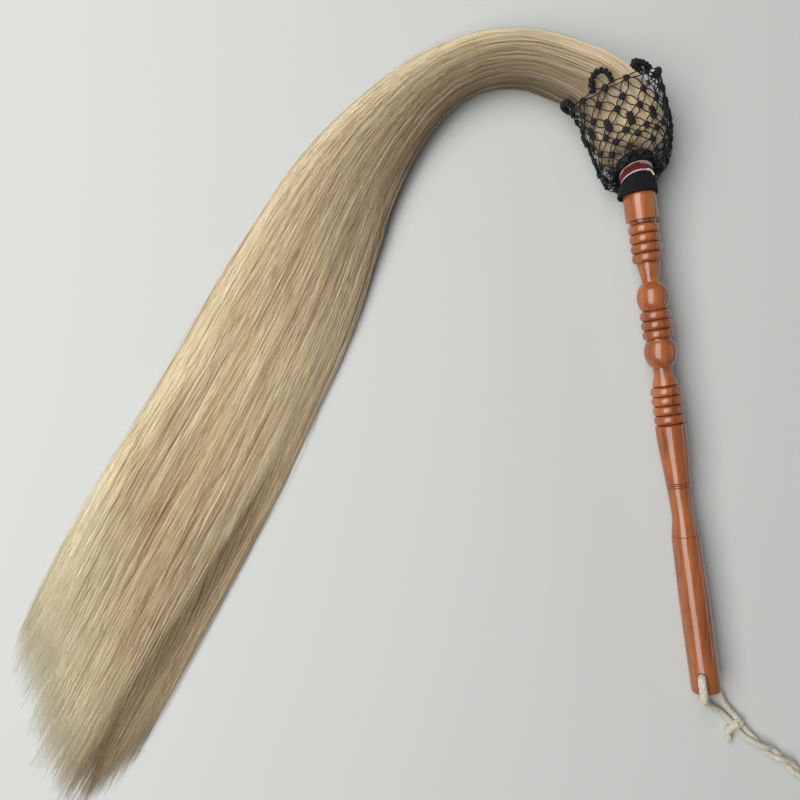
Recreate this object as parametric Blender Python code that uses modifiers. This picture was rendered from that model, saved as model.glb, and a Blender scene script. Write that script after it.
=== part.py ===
"""A horsetail fly whisk lying on a table: a turned wooden handle, a long tail of pale hair bound to its head,
a black knotted net over the binding, and a cotton wrist cord through the butt.

Units are metres and +Z is up. The table is z = 0. Every piece is placed from the shoulder, the point on the
table under the place where the handle's axis leaves its wooden collar; the last step moves the whole whisk so
that the world origin lies under its middle. Left of the whisk is -x and its head end is +y.
"""

import math
import random

import bmesh
import bpy
import numpy as np
from mathutils import Matrix, Vector

MM = 0.001
GAP = 0.3 * MM

# The handle: its axis leans in plan, and its head lies higher than its butt.
HANDLE_LENGTH = 344.0 * MM
HANDLE_LEAN = math.radians(8.3)
SHOULDER_HEIGHT = 23.8 * MM
BUTT_HEIGHT = 14.1 * MM
TENON_LENGTH = 34.0 * MM
TENON_RADIUS = 6.2 * MM
COLLAR_LENGTH = 18.2 * MM
COLLAR_RADIUS = 11.05 * MM
COLLAR_EDGE = 0.7 * MM
COVE_LENGTH = 2.6 * MM
COVE_RADIUS = 9.3 * MM
RING_PITCH = 6.45 * MM
RING_RADIUS = 10.4 * MM
RING_GROOVE = 8.7 * MM
CREASE_RADIUS = 7.7 * MM
UPPER_RINGS = 4
MIDDLE_RINGS = 3
LOWER_RINGS = 4
UPPER_NECK_LENGTH = 13.6 * MM
UPPER_NECK_RADIUS = 5.75 * MM
BALL_LENGTH = 19.6 * MM
BALL_RADIUS = 10.9 * MM
LOWER_NECK_LENGTH = 13.2 * MM
LOWER_NECK_RADIUS = 6.4 * MM
GRIP_EDGE = 1.2 * MM
GRIP_RADIUS = 10.3 * MM
GRIP_TAPER = 62.0 * MM
WAIST_RADIUS = 7.3 * MM
SWELL_LENGTH = 18.0 * MM
SWELL_RADIUS = 9.5 * MM
BUTT_RADIUS = 10.2 * MM
BUTT_SWELL = 45.0 * MM
BUTT_ROUND = 1.6 * MM
CORD_HOLE_RADIUS = 3.2 * MM
CORD_HOLE_FROM_BUTT = 13.0 * MM
CORD_HOLE_TURN = math.radians(-28.0)
HANDLE_STEPS = 16

# The neck above the shoulder: hair round the tenon, and what is wound and tied over it. Its rings are pushed
# along the axis at their top and pulled back at their underside, as cloth and thread slip on a thick bundle.
NECK_RADIUS = 9.7 * MM
BAND_SLANT = math.radians(25.0)
SLANT_RISE = 8.0 * MM
SLANT_FADE_FROM = 22.0 * MM
SLANT_FADE_TO = 46.0 * MM
NECK_STEPS = 24
BINDING_WALL = 0.7 * MM
BINDING_LENGTH = 4.2 * MM
CUFF_LENGTH = 8.0 * MM
CUFF_OVERLAP = 1.0 * MM
CUFF_FLARE_RADIUS = 13.3 * MM
CUFF_TOP_RADIUS = 11.5 * MM
CUFF_SLACK = 0.1 * MM
CUFF_TAPER = 0.3 * MM
THREAD_RADIUS = 0.4 * MM
THREAD_PITCH = 1.24 * MM
WHITE_TURNS = 1.25
RED_TURNS = 2.5
TURN_POINTS = 24
GATHER_LENGTH = 2.4 * MM
GATHER_WALL = 1.2 * MM
GATHER_EDGE = 0.3 * MM

# The net cup: a bent axis from the shoulder, and the net's (height, radius) along it in millimetres. Below
# the first, at CUP_BASE_HEIGHT, it starts on the gathered band.
CUP_BEND_FROM = 18.0 * MM
CUP_BEND = math.radians(13.0)
CUP_CROWN = 0.9
CUP_BASE_HEIGHT = 18.4
CUP_BODY = (
    (15.4, 14.6), (13.4, 17.6), (14.6, 20.8), (19.0, 23.4), (27.0, 25.8), (35.0, 27.4), (44.0, 28.2),
    (59.0, 29.0), (71.0, 29.9),
)
CUP_HEIGHT = CUP_BODY[-1][0] * MM
CUP_SLANT_TURN = math.radians(20.0)
NET_COLUMNS = 12
NET_ROWS = (0.0, 0.09, 0.19, 0.29, 0.395, 0.505, 0.62, 0.745, 0.87, 1.0)
NET_TWIST = math.radians(-15.0)
NET_THREAD_WIDTH = 0.6 * MM
NET_THICKNESS = 0.9 * MM
NET_CLEARANCE = 2.8 * MM
LOOPS = 6
LOOP_TURN = math.radians(-32.0)
LOOP_HALF_ANGLE = math.radians(13.0)
LOOP_HEIGHT = 8.5 * MM
LOOP_FLARE = 4.5 * MM
LOOP_RADIUS = 1.3 * MM
LOOP_POINTS = 9
RIM_THREAD_SHARE = 0.45

# The hair, in millimetres. It follows the handle's axis at HAIR_FOOT's heights and swells at HAIR_FLARE's
# (height, radius). Then come the middle of the bundle from the shoulder, its half width and half thickness.
HAIR_FOOT = (0.0, 7.0, 14.0, 19.0, 22.5)
HAIR_FLARE = ((22.4, 9.7), (24.0, 13.6), (26.0, 18.2))
HAIR_STATIONS = (
    (-4.9, 28.6, 22.4, 22.0),
    (-10.0, 46.5, 25.6, 23.4),
    (-19.0, 63.8, 24.4, 22.8),
    (-37.7, 79.8, 22.4, 20.2),
    (-65.9, 90.8, 21.8, 18.6),
    (-93.7, 92.3, 21.9, 17.2),
    (-120.9, 84.9, 23.3, 15.9),
    (-144.9, 69.8, 26.2, 14.4),
    (-167.6, 49.8, 29.7, 12.8),
    (-191.9, 23.8, 33.3, 11.4),
    (-210.7, -3.0, 37.5, 10.2),
    (-241.5, -67.3, 48.7, 8.2),
    (-273.7, -134.1, 54.4, 7.4),
    (-309.9, -201.2, 58.7, 6.5),
    (-346.6, -269.2, 60.0, 5.7),
    (-432.0, -427.4, 60.0, 3.7),
)
HAIR_START = 1.3 * MM
HAIR_FLAT = 0.5 * MM
HAIR_BLUNT = 0.96
HAIR_GROOVE = 0.09
UNDERSIDE_POWER = 0.3
LIES_FROM = 78.0 * MM
LIES_TO = 112.0 * MM
HAIR_LENGTH = 738.0 * MM
HAIR_LENGTH_SKEW = 60.0 * MM
HAIR_LENGTH_FALL = 53.0 * MM
HAIR_UNEVEN = 60.0 * MM
ROOT_END = 60.0 * MM
NECK_END = 118.0 * MM
ARCH_END = 215.0 * MM
BEND_END = 255.0 * MM
FAN_BODY_END = 376.0 * MM
SWING_AT = 86.0 * MM
LIFT_AT = 235.0 * MM
BUNDLE_COLUMNS = 18
FAN_COLUMNS = 50
FAN_LAYERS = 3
STRAND_LENGTH = 190.0 * MM
STRAND_TIP = 0.25
STRAND_INSET = 0.12

# The wrist cord, in millimetres from the shoulder. Its strands lie just clear of the table.
CORD_RADIUS = 2.3 * MM
EYE_ROUTE = (
    (73.4, -361.5, 2.5), (69.4, -357.4, 2.5), (65.4, -351.6, 2.5), (62.4, -344.8, 2.5), (60.0, -338.4, 2.5),
    (57.9, -333.6, 2.5), (56.2, -330.2, 2.6), (54.2, -327.6, 3.2), (52.5, -326.5, 5.3), (51.4, -326.8, 7.6),
    (47.8, -327.4, 14.5),
    (44.1, -328.2, 21.5), (43.0, -328.5, 23.7), (42.2, -329.0, 25.6), (41.9, -330.8, 26.8),
    (42.2, -333.2, 27.0), (42.8, -337.0, 26.7), (43.4, -341.0, 26.4), (44.5, -344.6, 25.0),
    (46.0, -346.6, 21.8), (47.6, -348.0, 17.2), (49.7, -350.0, 12.0), (52.7, -352.6, 7.6),
    (56.9, -355.8, 4.5), (62.2, -358.6, 2.9), (66.8, -361.8, 2.5), (69.45, -364.9, 2.5),
)
EYE_POINTS = 34
KNOT_CENTRE = (74.5, -366.9, 3.9)
KNOT_HEADING = math.radians(-50.0)
KNOT_HALF_LENGTH = 4.5 * MM
KNOT_ROUND_LENGTH = 6.6 * MM
KNOT_HALF_WIDTH = 6.2 * MM
KNOT_HALF_HEIGHT = 3.8 * MM
TAIL_ROUTE = (
    (69.45, -371.2, 3.0), (68.2, -372.6, 2.7), (68.2, -374.8, 2.5), (69.3, -377.2, 2.5), (70.6, -379.6, 2.5),
)
PAIR_ROUTE = (
    (77.8, -370.8), (81.0, -374.3), (87.7, -379.2), (94.7, -384.6), (105.3, -390.9), (112.3, -396.5),
    (119.3, -402.9), (129.0, -412.2), (134.5, -418.0),
)
PAIR_SPREAD = 2.45 * MM
PAIR_HALF_TURNS = 3
PAIR_POINTS = 14
TAIL_POINTS = 6
LOOP_CORD_POINTS = 44
BIGHT_OUTLINE = (
    (11.0, 5.0), (25.0, 11.0), (41.0, 16.5), (55.0, 17.5), (67.0, 13.5), (74.5, 7.0), (77.0, 0.0),
)
CORD_REST_HEIGHT = 2.5 * MM


def clear_scene():
    for obj in list(bpy.data.objects):
        bpy.data.objects.remove(obj, do_unlink=True)


def make_collection(name):
    made = bpy.data.collections.new(name)
    bpy.context.scene.collection.children.link(made)
    return made


def make_material(name, colour, roughness):
    made = bpy.data.materials.new(name)
    made.use_nodes = True
    shader = made.node_tree.nodes["Principled BSDF"]
    shader.inputs["Base Color"].default_value = (*colour, 1.0)
    shader.inputs["Roughness"].default_value = roughness
    shader.inputs["Metallic"].default_value = 0.0
    return made


def make_empty(name, parent, place):
    """An empty at a place given in the working frame, under its parent."""
    made = bpy.data.objects.new(name, None)
    parts.objects.link(made)
    made.parent = parent
    made.matrix_world = Matrix.Translation(place)
    bpy.context.view_layer.update()
    return made


def add_piece(name, data, material, parent, collection=None):
    """A named object whose mesh or curve is given in the working frame, hung on its parent."""
    made = bpy.data.objects.new(name, data)
    (collection or parts).objects.link(made)
    made.parent = parent
    data.transform(parent.matrix_world.inverted())
    if material:
        data.materials.append(material)
    bpy.context.view_layer.update()
    return made


def mesh_from(obj):
    """The object's shape with its modifiers and bevel applied, in the working frame."""
    bpy.context.view_layer.update()
    evaluated = obj.evaluated_get(bpy.context.evaluated_depsgraph_get())
    made = bpy.data.meshes.new_from_object(evaluated)
    made.transform(obj.matrix_world)
    welded = bmesh.new()
    welded.from_mesh(made)
    bmesh.ops.remove_doubles(welded, verts=welded.verts, dist=0.000001)
    welded.to_mesh(made)
    welded.free()
    return made


def ease(share):
    """0 to 1 with level ends."""
    share = min(max(share, 0.0), 1.0)
    return share * share * (3.0 - 2.0 * share)


def spline_through(points, count):
    """count points on a smooth curve through the given ones, evenly spaced along it."""
    rows = np.array(points, dtype=float)
    ends = np.vstack([2.0 * rows[0] - rows[1], rows, 2.0 * rows[-1] - rows[-2]])
    fine = []
    for before, start, end, after in zip(ends, ends[1:], ends[2:], ends[3:]):
        for share in np.linspace(0.0, 1.0, 16, endpoint=False):
            fine.append(
                0.5
                * (
                    2.0 * start
                    + (end - before) * share
                    + (2.0 * before - 5.0 * start + 4.0 * end - after) * share**2
                    + (3.0 * start - before - 3.0 * end + after) * share**3
                )
            )
    fine.append(rows[-1])
    fine = np.array(fine)
    run = np.concatenate([[0.0], np.cumsum(np.linalg.norm(np.diff(fine, axis=0), axis=1))])
    wanted = np.linspace(0.0, run[-1], count)
    return np.column_stack([np.interp(wanted, run, fine[:, axis]) for axis in range(rows.shape[1])])


# The handle's own directions: towards the head, to its right, and up.
TILT = (SHOULDER_HEIGHT - BUTT_HEIGHT) / HANDLE_LENGTH
HEAD = Vector((-math.sin(HANDLE_LEAN), math.cos(HANDLE_LEAN), TILT)).normalized()
RIGHT = Vector((math.cos(HANDLE_LEAN), math.sin(HANDLE_LEAN), 0.0))
UP = RIGHT.cross(HEAD)
SHOULDER = Vector((0.0, 0.0, SHOULDER_HEIGHT))
HANDLE_TURN = Matrix((RIGHT, -UP, HEAD)).transposed().to_4x4()


def turned_mesh(name, profile, steps, closed):
    """A profile of (height, radius) points, turned about the handle's axis and laid on the shoulder."""
    mesh = bpy.data.meshes.new(name)
    points = [(radius, 0.0, height) for height, radius in profile]
    edges = [(at, at + 1) for at in range(len(points) - 1)]
    if closed:
        edges.append((len(points) - 1, 0))
    mesh.from_pydata(points, edges, [])
    blank = bpy.data.objects.new(name, mesh)
    bpy.context.scene.collection.objects.link(blank)
    screw = blank.modifiers.new("turned", "SCREW")
    screw.steps = steps
    screw.render_steps = steps
    screw.use_merge_vertices = True
    screw.merge_threshold = 0.00001
    made = mesh_from(blank)
    bpy.data.objects.remove(blank, do_unlink=True)
    made.transform(Matrix.Translation(SHOULDER) @ HANDLE_TURN)
    return made


def smooth_shade(obj, angle):
    obj.data.shade_smooth()
    obj.data.set_sharp_from_angle(angle=angle)


def cut_with(obj, cutter):
    cutter.hide_render = True
    cutter.display_type = "WIRE"
    cut = obj.modifiers.new(cutter.name, "BOOLEAN")
    cut.operation = "DIFFERENCE"
    cut.object = cutter


# Handle: one turned stick with its hidden tenon, and the cord hole across its butt.
def ring_points(start, count):
    """Rings side by side, each a rounded crown between two grooves."""
    points = []
    for ring in range(count):
        for share, rise in ((0.0, 0.0), (0.2, 0.78), (0.5, 1.0), (0.8, 0.78)):
            radius = RING_GROOVE + (RING_RADIUS - RING_GROOVE) * rise
            points.append((start + (ring + share) * RING_PITCH, radius))
    return points


def ball_points(start, near_radius, far_radius):
    """A ball between the radius it starts from and the one it ends at."""
    points = []
    for share in (0.06, 0.2, 0.36, 0.5, 0.64, 0.8, 0.94):
        edge = near_radius if share < 0.5 else far_radius
        rise = math.sqrt(1.0 - (2.0 * share - 1.0) ** 2)
        points.append((start + share * BALL_LENGTH, edge + (BALL_RADIUS - edge) * rise))
    return points


def eased_points(start, length, first_radius, last_radius, shares):
    return [
        (start + share * length, first_radius + (last_radius - first_radius) * ease(share))
        for share in shares
    ]


def handle_profile():
    """Points down the outside of the handle: depth below the shoulder, and radius."""
    points = [(-TENON_LENGTH, 0.0), (-TENON_LENGTH, TENON_RADIUS), (0.0, TENON_RADIUS)]
    points += [(0.0, COLLAR_RADIUS - COLLAR_EDGE), (COLLAR_EDGE, COLLAR_RADIUS)]
    points += [(COLLAR_LENGTH - COLLAR_EDGE, COLLAR_RADIUS), (COLLAR_LENGTH, COVE_RADIUS)]
    depth = COLLAR_LENGTH + COVE_LENGTH
    points += ring_points(depth, UPPER_RINGS)
    depth += UPPER_RINGS * RING_PITCH
    half = UPPER_NECK_LENGTH / 2.0
    points += [(depth, RING_GROOVE)]
    points += eased_points(depth, half, CREASE_RADIUS, UPPER_NECK_RADIUS, (0.35, 1.0))
    points += eased_points(depth + half, half, UPPER_NECK_RADIUS, CREASE_RADIUS, (0.65, 1.0))
    depth += UPPER_NECK_LENGTH
    points += ball_points(depth, UPPER_NECK_RADIUS, CREASE_RADIUS)
    depth += BALL_LENGTH
    points += ring_points(depth, MIDDLE_RINGS)
    depth += MIDDLE_RINGS * RING_PITCH
    points += [(depth, RING_GROOVE)]
    points += ball_points(depth, CREASE_RADIUS, LOWER_NECK_RADIUS)
    depth += BALL_LENGTH
    points += [(depth + LOWER_NECK_LENGTH * 0.35, LOWER_NECK_RADIUS)]
    points += [(depth + LOWER_NECK_LENGTH * 0.8, CREASE_RADIUS)]
    depth += LOWER_NECK_LENGTH
    points += ring_points(depth, LOWER_RINGS)
    depth += LOWER_RINGS * RING_PITCH
    points += [(depth, RING_GROOVE)]
    depth += GRIP_EDGE
    points += eased_points(depth, GRIP_TAPER, GRIP_RADIUS, WAIST_RADIUS, (0.0, 0.25, 0.5, 0.75, 1.0))
    depth += GRIP_TAPER
    points += eased_points(depth, SWELL_LENGTH, WAIST_RADIUS, SWELL_RADIUS, (0.4, 0.7, 1.0))
    depth += SWELL_LENGTH
    points += eased_points(depth, BUTT_SWELL, SWELL_RADIUS, BUTT_RADIUS, (0.5, 1.0))
    points += [(HANDLE_LENGTH - BUTT_ROUND, BUTT_RADIUS)]
    points += [(HANDLE_LENGTH - 0.3 * BUTT_ROUND, BUTT_RADIUS - 0.3 * BUTT_ROUND)]
    points += [(HANDLE_LENGTH, BUTT_RADIUS - BUTT_ROUND), (HANDLE_LENGTH, 0.0)]
    return [(-depth, radius) for depth, radius in points]


def make_handle():
    mesh = turned_mesh("handle", handle_profile(), HANDLE_STEPS, False)
    handle = add_piece("handle", mesh, wood, whisk)
    smooth_shade(handle, math.radians(38.0))
    across = RIGHT * math.sin(CORD_HOLE_TURN) + UP * math.cos(CORD_HOLE_TURN)
    middle = SHOULDER - HEAD * (HANDLE_LENGTH - CORD_HOLE_FROM_BUTT)
    tool = bmesh.new()
    bmesh.ops.create_cone(
        tool, cap_ends=True, segments=20, radius1=CORD_HOLE_RADIUS, radius2=CORD_HOLE_RADIUS,
        depth=4.0 * BUTT_RADIUS,
    )
    drill = bpy.data.meshes.new("cord_hole_drill")
    tool.to_mesh(drill)
    tool.free()
    drill.transform(Matrix.Translation(middle) @ across.to_track_quat("Z", "Y").to_matrix().to_4x4())
    cut_with(handle, add_piece("cord_hole_drill", drill, None, whisk, cutters))


# Neck space: a height above the shoulder, a radius and an angle from the top become a place on the whisk.
def slant_at(height, radius):
    """How far the top of a ring is pushed along the axis, and its underside pulled back."""
    full = min(radius * math.tan(BAND_SLANT), SLANT_RISE)
    grown = min(max(height / CUFF_LENGTH, 0.0), 1.0)
    return full * grown * (1.0 - ease((height - SLANT_FADE_FROM) / (SLANT_FADE_TO - SLANT_FADE_FROM)))


def neck_point(height, radius, angle):
    push = slant_at(height, radius) * math.cos(angle)
    around = RIGHT * math.sin(angle) + UP * math.cos(angle)
    return SHOULDER + HEAD * (height + push) + around * radius


def slanted_ring(name, profile, material):
    """A closed ring turned about the axis, then slanted as the neck is."""
    mesh = turned_mesh(name, profile, NECK_STEPS, True)
    for vertex in mesh.vertices:
        height = (vertex.co - SHOULDER).dot(HEAD)
        outward = vertex.co - SHOULDER - HEAD * height
        radius = outward.length
        vertex.co += HEAD * slant_at(height, radius) * outward.dot(UP) / radius
    ring = add_piece(name, mesh, material, whisk)
    smooth_shade(ring, math.radians(40.0))
    return ring


BAND_RADIUS = NECK_RADIUS + GAP
BINDING_TOP = GAP + BINDING_LENGTH
LAY = THREAD_PITCH / math.cos(BAND_SLANT)
THREAD_REACH = THREAD_RADIUS / math.cos(BAND_SLANT)
BAND_GAP = GAP / math.cos(BAND_SLANT)
LOWER_WHITE_FROM = CUFF_LENGTH + BAND_GAP + THREAD_REACH
RED_FROM = LOWER_WHITE_FROM + WHITE_TURNS * LAY + 2.0 * THREAD_REACH + BAND_GAP
UPPER_WHITE_FROM = RED_FROM + RED_TURNS * LAY + 2.0 * THREAD_REACH + BAND_GAP
GATHER_FROM = UPPER_WHITE_FROM + WHITE_TURNS * LAY + THREAD_REACH + BAND_GAP
GATHER_RADIUS = BAND_RADIUS + GATHER_WALL


# Root binding: the hidden cord round the hair's roots. Cuff: black cloth over it and the collar's edge.
def make_binding_and_cuff():
    outside = BAND_RADIUS + BINDING_WALL
    slanted_ring(
        "root_binding",
        [(BINDING_TOP, BAND_RADIUS), (BINDING_TOP, outside), (GAP, outside), (GAP, BAND_RADIUS)],
        binding_cord,
    )
    over_collar = COLLAR_RADIUS + GAP + CUFF_SLACK
    step = BINDING_TOP + 2.0 * GAP
    slanted_ring(
        "black_cuff",
        [
            (CUFF_LENGTH, BAND_RADIUS),
            (CUFF_LENGTH, CUFF_TOP_RADIUS),
            (CUFF_LENGTH * 0.4, (CUFF_TOP_RADIUS + CUFF_FLARE_RADIUS) / 2.0),
            (-CUFF_OVERLAP, CUFF_FLARE_RADIUS),
            (-CUFF_OVERLAP, over_collar),
            (step, over_collar - CUFF_TAPER),
            (step, BAND_RADIUS),
        ],
        black_cloth,
    )


# Thread windings: white, red and white thread, each wound round the neck as one run of turns.
def least_gap(points, thickness, apart):
    """The smallest clear distance between stretches of a tube that are at least this many points apart."""
    rows = np.array(points)
    least = math.inf
    for at in range(len(rows) - apart):
        starts = rows[at + apart : -1]
        ends = rows[at + apart + 1 :]
        if not len(starts):
            continue
        spans = ends - starts
        shares = np.einsum("ij,ij->i", rows[at] - starts, spans) / np.einsum("ij,ij->i", spans, spans)
        nearest = starts + np.clip(shares, 0.0, 1.0)[:, None] * spans
        least = min(least, float(np.linalg.norm(nearest - rows[at], axis=1).min()))
    return least - thickness


def tube_curve(name, points, radius, resolution, cyclic=False, shares=None):
    curve = bpy.data.curves.new(name, "CURVE")
    curve.dimensions = "3D"
    curve.bevel_depth = radius
    curve.bevel_resolution = resolution
    curve.use_fill_caps = not cyclic
    curve.resolution_u = 1
    spline = curve.splines.new("POLY")
    spline.points.add(len(points) - 1)
    for at, place in enumerate(points):
        spline.points[at].co = (*place, 1.0)
        spline.points[at].radius = shares[at] if shares else 1.0
    spline.use_cyclic_u = cyclic
    return curve


def make_winding(name, start, turns, material):
    reach = BAND_RADIUS + THREAD_RADIUS
    count = round(turns * TURN_POINTS) + 1
    points = []
    for at in range(count):
        turn = at / TURN_POINTS
        points.append(neck_point(start + turn * LAY, reach, turn * math.tau))
    add_piece(name, tube_curve(name, points, THREAD_RADIUS, 1), material, whisk)
    gap = least_gap(points, 2.0 * THREAD_RADIUS, round(TURN_POINTS / 2.0))
    print(f"{name}: least gap to itself {gap / MM:.3f} mm")


# Gathered band: the drawn-in foot of the net, tied round the neck.
def make_gathered_band():
    top = GATHER_FROM + GATHER_LENGTH
    slanted_ring(
        "net_neck_band",
        [
            (top, BAND_RADIUS),
            (top, GATHER_RADIUS - GATHER_EDGE),
            (top - 0.3 * GATHER_LENGTH, GATHER_RADIUS),
            (GATHER_FROM + 0.3 * GATHER_LENGTH, GATHER_RADIUS),
            (GATHER_FROM, GATHER_RADIUS - GATHER_EDGE),
            (GATHER_FROM, BAND_RADIUS),
        ],
        black_thread,
    )


# Hair: one bundle along a line that leaves the shoulder, arches to the left and runs out on the table.
def hair_line():
    """Distance along the middle of the bundle, its place in plan, and the distance of each station."""
    foot = [tuple((HEAD * height * MM).xy) for height in HAIR_FOOT]
    stations = foot + [(x * MM, y * MM) for x, y, _, _ in HAIR_STATIONS]
    fine = spline_through(stations, 1200)
    runs = np.concatenate([[0.0], np.cumsum(np.linalg.norm(np.diff(fine, axis=0), axis=1))])
    marks = [runs[np.argmin(np.linalg.norm(fine - mark, axis=1))] for mark in stations[len(foot) :]]
    return runs, fine, marks


LINE_RUNS, LINE_PLACES, STATION_RUNS = hair_line()
SIZE_RUNS = [0.0] + [height * MM for height, _ in HAIR_FLARE] + list(STATION_RUNS)
ROUND_SIZES = [NECK_RADIUS] + [radius * MM for _, radius in HAIR_FLARE]
HALF_WIDTHS = ROUND_SIZES + [row[2] * MM for row in HAIR_STATIONS]
HALF_HEIGHTS = ROUND_SIZES + [row[3] * MM for row in HAIR_STATIONS]


def hair_frame(run):
    """The bundle's middle, the way it runs, its right side, half width, half height and how far it lies."""
    places = [
        Vector([float(np.interp(at, LINE_RUNS, LINE_PLACES[:, axis])) for axis in (0, 1)] + [0.0])
        for at in (run - MM, run, run + MM)
    ]
    ahead = (places[2] - places[0]).normalized()
    side = Vector((ahead.y, -ahead.x, 0.0))
    half_width = float(np.interp(run, SIZE_RUNS, HALF_WIDTHS))
    half_height = float(np.interp(run, SIZE_RUNS, HALF_HEIGHTS))
    lies = ease((run - LIES_FROM) / (LIES_TO - LIES_FROM))
    held = SHOULDER_HEIGHT + TILT * run
    middle = places[1] + Vector((0.0, 0.0, held + (half_height - HAIR_FLAT - held) * lies))
    return middle, ahead, side, half_width, half_height, lies


def column_place(column, columns):
    """How far across the bundle a column's edge is, from -1 to 1: columns are narrower at its sides."""
    share = 2.0 * column / columns - 1.0
    return HAIR_BLUNT * (0.5 * share + 0.5 * math.sin(share * math.pi / 2.0))


def hair_point(run, column, columns, level):
    """A place in the bundle: level 0 is its underside and 1 its top, where every other column's edge dips."""
    middle, ahead, side, half_width, half_height, lies = hair_frame(run)
    across = column_place(column, columns)
    arch = math.sqrt(1.0 - across * across)
    top = half_height * arch * (1.0 - HAIR_GROOVE * (column % 2))
    bottom = half_height * arch ** (1.0 + (UNDERSIDE_POWER - 1.0) * lies)
    bottom = min(bottom, middle.z)
    rise = -bottom + (top + bottom) * level
    push = slant_at(run, NECK_RADIUS) * rise / half_height
    return middle + side * (across * half_width) + Vector((0.0, 0.0, rise)) + ahead * push


def outline_places(columns, layers):
    """The (column, level) places round the bundle's outline, anticlockwise as seen against its run."""
    under = [(column, 0.0) for column in range(columns + 1)]
    right = [(columns, layer / layers) for layer in range(1, layers)]
    over = [(column, 1.0) for column in range(columns, -1, -1)]
    left = [(0, layer / layers) for layer in range(layers - 1, 0, -1)]
    return under + right + over + left


def close_end(shape, row, columns, layers):
    """Closes a row of outline vertices with one face for each column."""
    over = columns + layers
    for column in range(columns):
        right = row[columns + 1 : over] if column == columns - 1 else []
        left = row[over + columns + 1 :] if column == 0 else []
        top = [row[over + columns - column - 1], row[over + columns - column]]
        shape.faces.new([row[column], row[column + 1], *right, *top, *left])


def hair_loft(shape, rows):
    """Joins rows of outline vertices into a skin."""
    for first, second in zip(rows, rows[1:]):
        for at in range(len(first)):
            after = (at + 1) % len(first)
            shape.faces.new((first[at], second[at], second[after], first[after]))


def finish_hair(name, shape, parent):
    mesh = bpy.data.meshes.new(name)
    bmesh.ops.recalc_face_normals(shape, faces=shape.faces)
    shape.to_mesh(mesh)
    shape.free()
    return add_piece(name, mesh, horsehair, parent)


def make_bundle(name, runs, parent):
    """A plain length of the bundle, closed at both ends."""
    shape = bmesh.new()
    places = outline_places(BUNDLE_COLUMNS, 1)
    rows = [
        [shape.verts.new(hair_point(run, column, BUNDLE_COLUMNS, level)) for column, level in places]
        for run in runs
    ]
    hair_loft(shape, rows)
    for row in (rows[0], rows[-1]):
        close_end(shape, row, BUNDLE_COLUMNS, 1)
    return finish_hair(name, shape, parent)


def full_length(column):
    """Where the longest strands of a column end. The tail is cut on a slant, shortest at its outer side."""
    across = column_place(column, FAN_COLUMNS) / HAIR_BLUNT
    return HAIR_LENGTH - HAIR_LENGTH_SKEW * across - HAIR_LENGTH_FALL * across * across


def grow_strand(shape, corners, places, end):
    """A free strand of three sides from a cell of the fan's end face to its tip."""
    middle = sum((corner.co for corner in corners), Vector()) / 3.0
    foot = [shape.verts.new(corner.co.lerp(middle, STRAND_INSET)) for corner in corners]
    tips = [hair_point(end, column, FAN_COLUMNS, level) for column, level in places]
    tip_middle = sum(tips, Vector()) / 3.0
    tip = [shape.verts.new(tip_middle.lerp(place, STRAND_TIP)) for place in tips]
    for at in range(3):
        after = (at + 1) % 3
        shape.faces.new((corners[at], corners[after], foot[after], foot[at]))
        shape.faces.new((foot[at], foot[after], tip[after], tip[at]))
    shape.faces.new(tip)


def make_fan(parent):
    """The spread tail: a body whose end face carries the free strands."""
    rng = random.Random(7)
    shape = bmesh.new()
    places = outline_places(FAN_COLUMNS, FAN_LAYERS)
    steady = np.linspace(BEND_END + GAP, FAN_BODY_END, 4)
    rows = [
        [shape.verts.new(hair_point(run, column, FAN_COLUMNS, level)) for column, level in places]
        for run in steady
    ]
    ends = [full_length(column) - STRAND_LENGTH for column in range(FAN_COLUMNS + 1)]
    halfway = [(FAN_BODY_END + end) / 2.0 for end in ends]
    for stops in (halfway, ends):
        rows.append(
            [shape.verts.new(hair_point(stops[column], column, FAN_COLUMNS, level)) for column, level in places]
        )
    hair_loft(shape, rows)
    rim = dict(zip(places, rows[-1]))
    grid = {}
    for column in range(FAN_COLUMNS + 1):
        for layer in range(FAN_LAYERS + 1):
            level = layer / FAN_LAYERS
            found = rim.get((column, level))
            if found is None:
                found = shape.verts.new(hair_point(ends[column], column, FAN_COLUMNS, level))
            grid[column, layer] = found
    for column in range(FAN_COLUMNS):
        for layer in range(FAN_LAYERS):
            low, high = layer, layer + 1
            if (column + layer) % 2:
                cells = (((0, low), (1, low), (1, high)), ((0, low), (1, high), (0, high)))
            else:
                cells = (((0, low), (1, low), (0, high)), ((1, low), (1, high), (0, high)))
            for cell in cells:
                corners = [grid[column + step, level] for step, level in cell]
                spots = [(column + step, level / FAN_LAYERS) for step, level in cell]
                end = full_length(column) - rng.uniform(0.0, HAIR_UNEVEN)
                grow_strand(shape, corners, spots, end)
    close_end(shape, rows[0], FAN_COLUMNS, FAN_LAYERS)
    return finish_hair("hair_fan", shape, parent)


def bore_for_tenon(root):
    """Drills the hair's root for the handle's tenon."""
    depth = TENON_LENGTH + GAP
    tool = bmesh.new()
    bmesh.ops.create_cone(
        tool, cap_ends=True, segments=NECK_STEPS, radius1=TENON_RADIUS + GAP, radius2=TENON_RADIUS + GAP,
        depth=2.0 * depth,
    )
    drill = bpy.data.meshes.new("tenon_drill")
    tool.to_mesh(drill)
    tool.free()
    drill.transform(Matrix.Translation(SHOULDER) @ HANDLE_TURN)
    cut_with(root, add_piece("tenon_drill", drill, None, whisk, cutters))


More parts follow.
